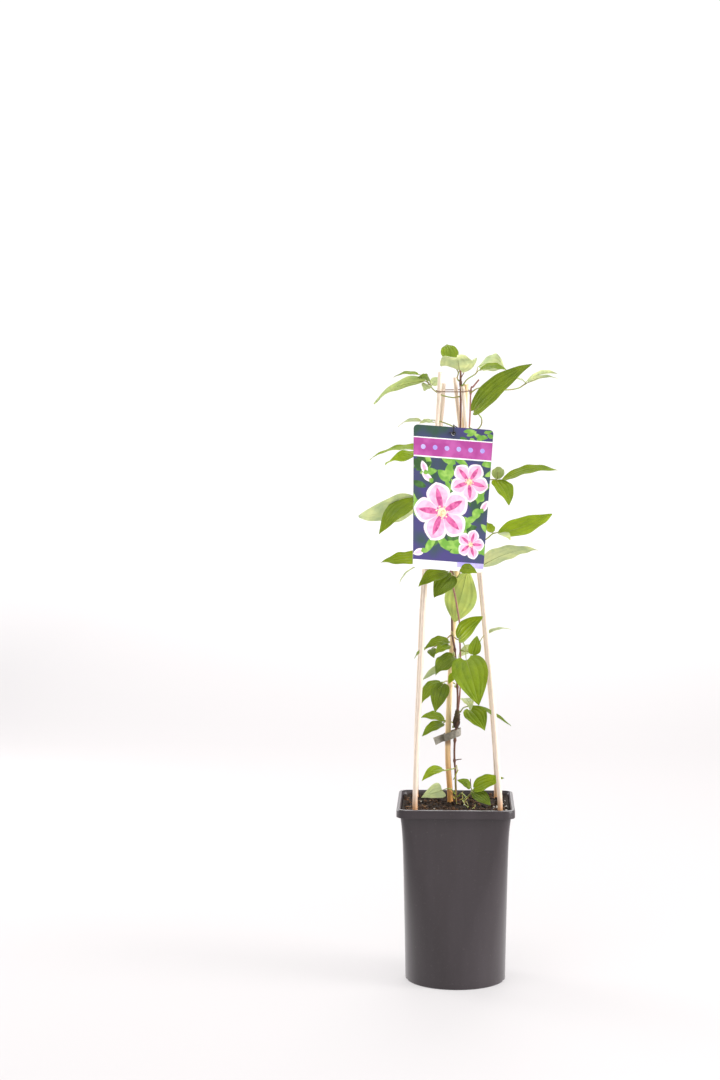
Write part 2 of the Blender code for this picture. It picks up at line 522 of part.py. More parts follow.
def build_stems(group):
    """The two woody stems, the old crown that they grow from, leaf joints and cut stubs, as one body."""
    bark = make_material("bark", (0.12, 0.055, 0.035), 0.75)
    main = smooth_path(STEM_MAIN, 2)
    second = smooth_path(STEM_SECOND, 2)
    pieces = [tube_mesh(main, [STEM_R] * len(main), 1), tube_mesh(second, [STEM_SECOND_R] * len(second), 0)]
    crown = smooth_path(CROWN, 3)
    shares = [k / (len(crown) - 1) for k in range(len(crown))]
    swell = [CROWN_END_R + (CROWN_R - CROWN_END_R) * math.sin(math.pi * (0.12 + 0.76 * t)) for t in shares]
    pieces.append(tube_mesh(crown, swell, 2))
    for path, heights in ((STEM_MAIN, MAIN_NODES), (STEM_SECOND, SECOND_NODES)):
        for height in heights:
            at = point_at_height(path, height)
            reach = Vector((0, 0, NODE_REACH))
            pieces.append(tube_mesh([at - reach, at, at + reach], [NODE_END_R, NODE_R, NODE_END_R], 0))
    for foot, end in STUBS:
        pieces.append(tube_mesh([foot, end], [STUB_FOOT_R, STUB_END_R], 0))
    return add_mesh_object("vine_stems", fuse(pieces), bark, group).data


def blade_frame(leaf):
    """The leaf's own axes: its length, the way it points, its upper side and its right-hand side."""
    base, tip = Vector(leaf.base), Vector(leaf.tip)
    along = tip - base
    length = along.length
    along.normalize()
    up = Vector(leaf.face)
    up = (up - along * up.dot(along)).normalized()
    return base, length, along, up, along.cross(up)


def half_width(leaf, s):
    """Half the leaf's width at a share of its length: egg-shaped, drawn out to a point."""
    a = leaf.shape
    peak = (a / (1 + a)) ** a / (1 + a)
    return max(leaf.width / 2 * (s ** a * (1 - s)) / peak, 0.45)


def blade_point(leaf, s, c, lift=0.0):
    """A point of the blade: s along it from 0 to 1, c across it from -1 to 1, lifted off it by mm."""
    base, length, along, up, side = blade_frame(leaf)
    half = half_width(leaf, s)
    arch = leaf.bow * length * 4 * s * (1 - s) - 0.05 * length * s ** 3
    cup = leaf.fold * half * abs(c) ** 1.4
    ripple = leaf.wave * leaf.width * c * c * math.sin(2 * math.pi * (1.6 * s + 0.25 * c))
    notch = leaf.lobe * length * c * c * math.exp(-(s / 0.2) ** 2)
    return base + along * (s * length - notch) + side * (c * half) + up * (arch + cup + ripple + lift)


def blade_mesh(leaf):
    """A leaf blade as a thin closed mesh, split into triangles alike on both faces."""
    small = leaf.width < SMALL_WIDTH
    rows, columns = (SMALL_ROWS, SMALL_COLUMNS) if small else (ROWS, COLUMNS)
    shell = bmesh.new()
    half = BLADE_THICK / 2
    upper = [[shell.verts.new(blade_point(leaf, s, c, half) * MM) for c in columns] for s in rows]
    lower = [[shell.verts.new(blade_point(leaf, s, c, -half) * MM) for c in columns] for s in rows]
    last_row, last_column = len(rows) - 1, len(columns) - 1
    for i in range(last_row):
        for j in range(last_column):
            for sheet in (upper, lower):
                a, b, c, d = sheet[i][j], sheet[i][j + 1], sheet[i + 1][j + 1], sheet[i + 1][j]
                shell.faces.new((a, b, c))
                shell.faces.new((a, c, d))
    rim = [(i, 0) for i in range(last_row)] + [(last_row, j) for j in range(last_column)]
    rim += [(i, last_column) for i in range(last_row, 0, -1)]
    rim += [(0, j) for j in range(last_column, 0, -1)]
    for (i, j), (k, m) in zip(rim, rim[1:] + rim[:1]):
        shell.faces.new((upper[i][j], upper[k][m], lower[k][m], lower[i][j]))
    bmesh.ops.recalc_face_normals(shell, faces=shell.faces)
    mesh = bpy.data.meshes.new("blade")
    shell.to_mesh(mesh)
    shell.free()
    return mesh


def leaf_stalk_path(fork, before_fork, leaf):
    """A leaf's own stalk: on from the fork, round into the leaf's direction, and along its midrib."""
    base, length, along, up, _ = blade_frame(leaf)
    reach = (base - fork).length
    lead = (fork - before_fork).normalized()
    midrib = blade_point(leaf, 0.11, 0, -0.15)
    if reach < 2.0:
        return [fork - lead * 0.6, midrib]
    first, second = fork + lead * reach * 0.3, base - along * reach * 0.3
    bend = [fork * (1 - t) ** 3 + first * 3 * t * (1 - t) ** 2 + second * 3 * t * t * (1 - t) + base * t ** 3
            for t in (0.35, 0.7)]
    return [fork - lead * 0.6, *bend, midrib]


def root_on_bark(stalk, bark):
    """The stalk's path: it starts square off the bark, where the line to its second point leaves it."""
    near, normal = bark.find_nearest(Vector(stalk[0]) * MM)[:2]
    out = (Vector(stalk[1]) * MM - near).normalized()
    hit, hit_normal = bark.ray_cast(Vector(stalk[1]) * MM, -out)[:2]
    if hit is not None:
        near, normal = hit, hit_normal
    foot, knee = near / MM + normal * 1.8 * GAP, near / MM + normal * 6 * GAP
    return [foot, *smooth_path([knee, *stalk[1:]], 2 if len(stalk) < 4 else 1)]


def spray_mesh(spray, bark):
    """A spray's stalk, the leaves' own stalks and the blades, fused."""
    stalk = root_on_bark(spray.stalk, bark)
    pieces = [tube_mesh(stalk, [STALK_R] * len(stalk), 0)]
    for leaf in spray.leaves:
        path = leaf_stalk_path(stalk[-1], stalk[-2], leaf)
        radii = [STALK_R * (0.95 - 0.35 * k / (len(path) - 1)) for k in range(len(path))]
        pieces.append(tube_mesh(path, radii, 0))
        pieces.append(blade_mesh(leaf))
    return fuse(pieces)


def build_sprays(group, stems):
    """Every spray of leaves, one object each, growing from the bark of the stems."""
    shell = bmesh.new()
    shell.from_mesh(stems)
    bark = BVHTree.FromBMesh(shell)
    shell.free()
    for name, spray in SPRAYS.items():
        green = make_material(name + "_leaf", (0.10, 0.22, 0.02), 0.45)
        add_mesh_object(name, spray_mesh(spray, bark), green, group)


def label_point(u, v, lift=0.0):
    """A point on the label: u from its left edge, v from its top, 0 to 1, lifted off its front by mm."""
    tl, tr, bl, br = (Vector(LABEL_CORNERS[k]) for k in ("top_left", "top_right", "foot_left", "foot_right"))
    top, foot = tl.lerp(tr, u), bl.lerp(br, u)
    across, down = (tr - tl).lerp(br - bl, v), foot - top
    front = across.cross(down).normalized()
    if front.y > 0:
        front = -front
    return top.lerp(foot, v) + front * lift


def build_label(group, cutters):
    """The plant label: a thin plastic card with round corners and a hole near its top edge."""
    card = make_material("label_card", (0.55, 0.25, 0.45), 0.35)
    width = (Vector(LABEL_CORNERS["top_right"]) - Vector(LABEL_CORNERS["top_left"])).length
    height = (Vector(LABEL_CORNERS["foot_left"]) - Vector(LABEL_CORNERS["top_left"])).length
    corner = LABEL_CORNER_R
    ends = [0.0, 0.25 * corner, corner]
    rows = [d / height for d in ends] + [0.25, 0.5, 0.75] + [1 - d / height for d in reversed(ends)]
    columns = 4
    shell = bmesh.new()
    sheets = []
    for lift in (0.5 * LABEL_THICK, -0.5 * LABEL_THICK):
        sheet = []
        for v in rows:
            edge = min(v, 1 - v) * height
            inset = corner - math.sqrt(max(corner ** 2 - (corner - min(edge, corner)) ** 2, 0.0))
            span = 1 - 2 * inset / width
            sheet.append([shell.verts.new(label_point(0.5 + span * (k / columns - 0.5), v, lift) * MM)
                          for k in range(columns + 1)])
        sheets.append(sheet)
    front, back = sheets
    last = len(rows) - 1
    for i in range(last):
        for k in range(columns):
            for sheet in sheets:
                a, b, c, d = sheet[i][k], sheet[i][k + 1], sheet[i + 1][k + 1], sheet[i + 1][k]
                shell.faces.new((a, b, c))
                shell.faces.new((a, c, d))
    rim = [(i, 0) for i in range(last)] + [(last, k) for k in range(columns)]
    rim += [(i, columns) for i in range(last, 0, -1)] + [(0, k) for k in range(columns, 0, -1)]
    for (i, j), (k, m) in zip(rim, rim[1:] + rim[:1]):
        shell.faces.new((front[i][j], front[k][m], back[k][m], back[i][j]))
    bmesh.ops.recalc_face_normals(shell, faces=shell.faces)
    mesh = bpy.data.meshes.new("label")
    shell.to_mesh(mesh)
    shell.free()
    label = add_mesh_object("label", mesh, card, group)
    near, far = label_point(*LABEL_HOLE_AT, 4.0), label_point(*LABEL_HOLE_AT, -4.0)
    add_cutter(tube_mesh([near, far], [LABEL_HOLE_R] * 2, 3), cutters, "label_hole_cutter")
    cut(label, cutters)
    return label


def build_label_tie(group):
    """The black wire tie: through the label's hole, over its top edge and round the front right cane."""
    black = make_material("tie_plastic", (0.02, 0.02, 0.02), 0.4)
    hole = label_point(*LABEL_HOLE_AT)
    front, back = label_point(*LABEL_HOLE_AT, 2.2), label_point(*LABEL_HOLE_AT, -3.0)
    over = label_point(LABEL_HOLE_AT[0], -0.012)
    cane = point_at_height(CANES["cane_front_right"][0], hole.z + 2)
    ring = TIED_CANE_R + 2 * GAP + TIE_WIRE_R
    loop = [front, label_point(LABEL_HOLE_AT[0], 0.02, 2.0), over + Vector((0, 0, 0.6)),
            over + Vector((1.5, 4, -1.0)), cane + Vector((-ring - 1.0, -2.5, 2)),
            cane + Vector((-ring, 1.2, 2)), cane + Vector((0, ring, 1)), cane + Vector((ring, 0.5, 0)),
            cane + Vector((ring * 0.8, -ring, -1)), back + Vector((4.5, 3, 0)), back, hole]
    path = smooth_path([*loop, loop[0]], 2)[:-1]
    add_mesh_object("label_tie", tube_mesh(path, [TIE_WIRE_R] * len(path), 0, closed=True), black, group)


def build_tape(group):
    """The grey tying tape: a flat loop round the middle cane and the stem, and its tail on the left."""
    grey = make_material("tying_tape", (0.16, 0.19, 0.15), 0.55)
    centre = Vector(TAPE_CENTRE)
    reach_x, reach_y = TAPE_LOOP
    turns = 20
    shell = bmesh.new()
    rings = []
    for half in (-TAPE_WIDTH / 2, TAPE_WIDTH / 2):
        for thick in (0.0, TAPE_THICK):
            ring = []
            for k in range(turns):
                angle = 2 * math.pi * k / turns
                x = (reach_x + thick) * math.cos(angle)
                y = (reach_y + thick) * math.sin(angle)
                rise = half / math.cos(TAPE_TILT) + x * math.tan(TAPE_TILT)
                ring.append(shell.verts.new((centre + Vector((x, y, rise))) * MM))
            rings.append(ring)
    low_in, low_out, high_in, high_out = rings
    for a, b in ((low_in, low_out), (low_out, high_out), (high_out, high_in), (high_in, low_in)):
        for k in range(turns):
            m = (k + 1) % turns
            shell.faces.new((a[k], a[m], b[m], b[k]))
    bmesh.ops.recalc_face_normals(shell, faces=shell.faces)
    band = bpy.data.meshes.new("band")
    shell.to_mesh(band)
    shell.free()
    tail = bmesh.new()
    bmesh.ops.create_cube(tail, size=1.0)
    bmesh.ops.scale(tail, verts=tail.verts, vec=(TAPE_TAIL * MM, 1.1 * MM, TAPE_WIDTH * 0.98 * MM))
    start = -reach_x - TAPE_THICK + 0.3
    for v in tail.verts:
        x = v.co.x + (start - TAPE_TAIL / 2) * MM
        rise = v.co.z / math.cos(TAPE_TILT) + x * math.tan(TAPE_TILT)
        sweep = -(start * MM - x) * 0.55
        v.co = centre * MM + Vector((x, v.co.y + sweep, rise))
    mesh = bpy.data.meshes.new("tail")
    tail.to_mesh(mesh)
    tail.free()
    add_mesh_object("tying_tape", fuse([band, mesh]), grey, group)


def main():
    clear_scene()
    model = make_collection("potted_clematis")
    cutters = {name: make_collection(name + "_cutters") for name in ("pot", "soil", "label")}
    build_canes(model)
    build_hoop(model)
    stems = build_stems(model)
    build_sprays(model, stems)
    build_tape(model)
    build_label_tie(model)
    build_label(model, cutters["label"])
    build_soil(model, cutters["soil"])
    build_pot(model, cutters["pot"])


main()
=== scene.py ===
import math
import random
from collections import namedtuple

import bmesh
import bpy
from bpy.props import FloatProperty, FloatVectorProperty, IntProperty, PointerProperty
from mathutils import Matrix, Vector, noise
from mathutils.bvhtree import BVHTree


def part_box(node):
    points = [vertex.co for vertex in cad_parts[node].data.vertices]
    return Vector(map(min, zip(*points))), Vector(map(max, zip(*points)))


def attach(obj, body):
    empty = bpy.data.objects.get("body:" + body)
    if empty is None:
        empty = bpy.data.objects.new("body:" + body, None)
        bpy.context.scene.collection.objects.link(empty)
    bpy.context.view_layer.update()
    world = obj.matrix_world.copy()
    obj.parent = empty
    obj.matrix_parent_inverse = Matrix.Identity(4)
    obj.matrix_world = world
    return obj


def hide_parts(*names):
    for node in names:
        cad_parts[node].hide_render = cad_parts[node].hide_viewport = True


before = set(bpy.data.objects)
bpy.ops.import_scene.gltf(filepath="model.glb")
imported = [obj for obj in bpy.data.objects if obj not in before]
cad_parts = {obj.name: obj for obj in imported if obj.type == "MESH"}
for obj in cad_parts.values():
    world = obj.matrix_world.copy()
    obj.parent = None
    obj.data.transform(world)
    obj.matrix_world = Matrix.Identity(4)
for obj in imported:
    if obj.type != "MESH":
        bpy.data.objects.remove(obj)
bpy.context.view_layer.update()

bl_info = {
    "name": "Potted clematis on canes",
    "version": (1, 0, 0),
    "blender": (4, 5, 0),
    "location": "3D View > Sidebar > Clematis",
    "description": "Dresses the packed clematis: pot, peat, canes, stems, leaves, label and a pale studio",
    "category": "Object",
}

MM = 0.001
POT_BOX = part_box("pot")

# The sizes, routes and leaves below are in millimetres, in the frame's axes: +Z up, the front towards -Y.

# The pot
CORNER_STEPS = 16
FLARE_POWER = 12                       # how near the mouth the flare begins
MOUTH_CORNER = 10.0
FOOT_FLAT = 0.6                        # how far the foot's outline is from round
SKIRT_DROP = 9.8
SKIRT_WALL = 1.2
FLOOR_UNDER = 4.0
FLOOR_TOP = 5.6
FOOT_WALL = 2.6
PAD_R = 6.0
SLOT_ANGLES = (-15, 15, 165, 195)      # degrees from +X, two slots on each side of the foot
SLOT_REACH = 12.0
SLOT_WIDTH = 11.0
SLOT_HEIGHT = 1.8
DRAIN_HOLES = 8
DRAIN_HOLE_R = 4.0
DRAIN_CIRCLE_R = 36.0

# The peat
WALL_LEVELS = (40.0, 80.0, 120.0, 160.0, 186.0, 201.0)
SOIL_DISH_SPREAD = 34.0
PEAT_GAP = 0.3                         # between the peat and the pot
PEAT_RINGS = 44
PEAT_LUMPS = 1.15                      # height of the finer lumps
LOOSE_MARGIN = 3.0                     # loose bits stay this far from the pot's wall
CLEAR_OF_CORNERS = 1.72                # and this far out towards its corners, in half widths
CRUMB_SIZES = (0.7, 0.9, 1.1, 1.4, 1.9, 2.4)
FIBRE_RADII = [0.16, 0.24, 0.26, 0.24, 0.2, 0.12]
CHANCE_TURN = 6.28                     # radians, for headings drawn by chance

# The hoop, the tape, the card and its tie
HOOP_HEIGHT = 698.0
HOOP_PLAY = 0.3
HOOP_STEPS = 120
TAPE_CENTRE = (-4.6, 25.8, 287.5)
TAPE_TILT = math.radians(20)
TAPE_LOOP = (10.0, 7.2)
TAPE_STEPS = 72
TAPE_TAIL = 12.0
TAIL_TRIM = 1.3
TAIL_STEPS = 14
LABEL_HOLE_AT = (0.5, 0.045)
LABEL_HOLE_R = 2.4
LABEL_ROWS = 30
LABEL_COLUMNS = 20
PRINT_COLUMNS = 8
DESIGN = (93.0, 168.0)                 # width and height that the print is drawn in
KNOT_STEPS = 24
TIE_WIRE_R = 0.6
TIED_CANE_R = 2.5
TIE_PLAY = 0.6

# The tape's section across its width: share of the width, share of the thickness
TAPE_SECTION = [(-0.5, 0.25), (-0.5, 0.75), (-0.44, 1.0), (-0.2, 0.94), (0.0, 1.0), (0.2, 0.94), (0.44, 1.0),
                (0.5, 0.75), (0.5, 0.25), (0.44, 0.0), (-0.44, 0.0)]

# Canes: where each runs, foot to head, and its radius at both ends
CANES = {
    "cane_front_left": ([(-46, -44, 135), (-47.4, -44, 212), (-45.6, -42.7, 280), (-42, -41, 345),
                         (-35.5, -32, 484), (-23, -15, 659), (-19.7, -10, 720)], 3.1, 2.3),
    "cane_back_left": ([(-46, 44, 135), (-47.9, 44, 217), (-47.3, 42.4, 285), (-45.4, 41, 334),
                        (-38, 31, 487), (-19, 12, 659), (-15.5, 9, 707)], 3.1, 2.5),
    "cane_front_right": ([(51, -44, 135), (52, -44, 210), (47, -41, 282), (42.3, -37, 345),
                          (28.8, -26, 484), (11, -9, 659), (7, -5, 703)], 3.1, 2.4),
    "cane_back_right": ([(48, 44, 135), (49, 44, 230), (44.5, 41, 299), (37, 36, 380),
                         (27, 29, 480), (3.5, 14.5, 659), (-2.5, 12, 714)], 3.1, 2.3),
    "cane_middle": ([(-5, 33, 120), (-6.4, 31, 206), (-9.6, 28, 270), (-6.4, 23.5, 367),
                     (-2.6, 20, 426), (4, 12.5, 560), (11, 5.5, 706)], 3.5, 3.0),
}
MIDDLE_JOINT = 279.0                   # height of the bamboo joint on the middle cane

STEM_MAIN = [(0.5, 31, 165), (0.5, 30, 208), (0, 28.5, 226), (-0.5, 27, 244), (-1.5, 26, 256),
             (-1.5, 24, 275), (0.5, 21, 300), (2, 18.5, 330), (1, 15.5, 358), (-1.5, 13, 391),
             (-4.2, 11.5, 407), (-5, 10.5, 430), (-4, 8.5, 480), (-2, 6, 540), (1, 3.5, 600),
             (4.4, 1.2, 658), (4.4, 1.5, 722)]
STEM_SECOND = [(1, 20.5, 306), (4, 14.5, 331), (5.5, 9, 360), (4.5, 4, 404), (4, 0, 424), (-1, -8, 455),
               (-6, -14, 480), (-5, -14, 500), (0, -11, 540), (9.5, -5, 600), (15, -3, 658),
               (16.5, -3.5, 698), (19.5, -4, 703), (26, -4.5, 711)]
CROWN = [(0.1, 21.8, 296.5), (0.8, 21.0, 302), (1.3, 20.1, 309), (1.8, 19.0, 318)]
CROWN_R = 3.9
CROWN_END_R = 1.4
MAIN_NODES = (256, 346, 391, 498, 556, 610, 706)
SECOND_NODES = (404, 486, 584, 696)
NODE_R = 1.9
NODE_SPREAD = 1.7
# A burr of old bark just under the tape: its height, how far it stands out, how far it spreads
BURR = (281.0, 0.9, 2.2)
# The two buds at a joint: their headings in radians, and how far out each ring of a bud is and its radius
BUD_TURNS = (0.4, 3.6)
BUD_RINGS = ((0.8, 0.7), (1.6, 0.75), (2.3, 0.5), (2.9, 0.1))
BARK_STRIPS = 26
STRIP_RADII = [0.16, 0.26, 0.3, 0.3, 0.28, 0.26, 0.2, 0.1]
STUBS = [((-1.5, 26, 256), (7, 22, 258.5)), ((4.4, 1.5, 712), (8.5, -0.5, 719))]
STUB_FOOT_R = 0.7
STUB_TAPER = 0.02
LABEL_CORNERS = {"top_left": (-50, -31, 659), "top_right": (43, -24, 652),
                 "foot_left": (-50, -62, 494), "foot_right": (31, -38, 486.5)}

# A leaf: the point where its stalk meets it, its tip, its width, the way its upper side faces, how far
# its middle rises above the straight line (share of its length), how far its edges rise (share of
# their distance from the midrib), how much they wave, how deep the notch at its base is, and its shape:
# 0.5 is widest a third of the way along, 1.0 is widest at the middle
Leaf = namedtuple("Leaf", "base tip width face bow fold wave lobe shape",
                  defaults=(0.08, 0.18, 0.0, 0.04, 0.5))
# A spray: one stalk from the stem to where its leaves part, and the leaves on it
Spray = namedtuple("Spray", "stalk leaves")

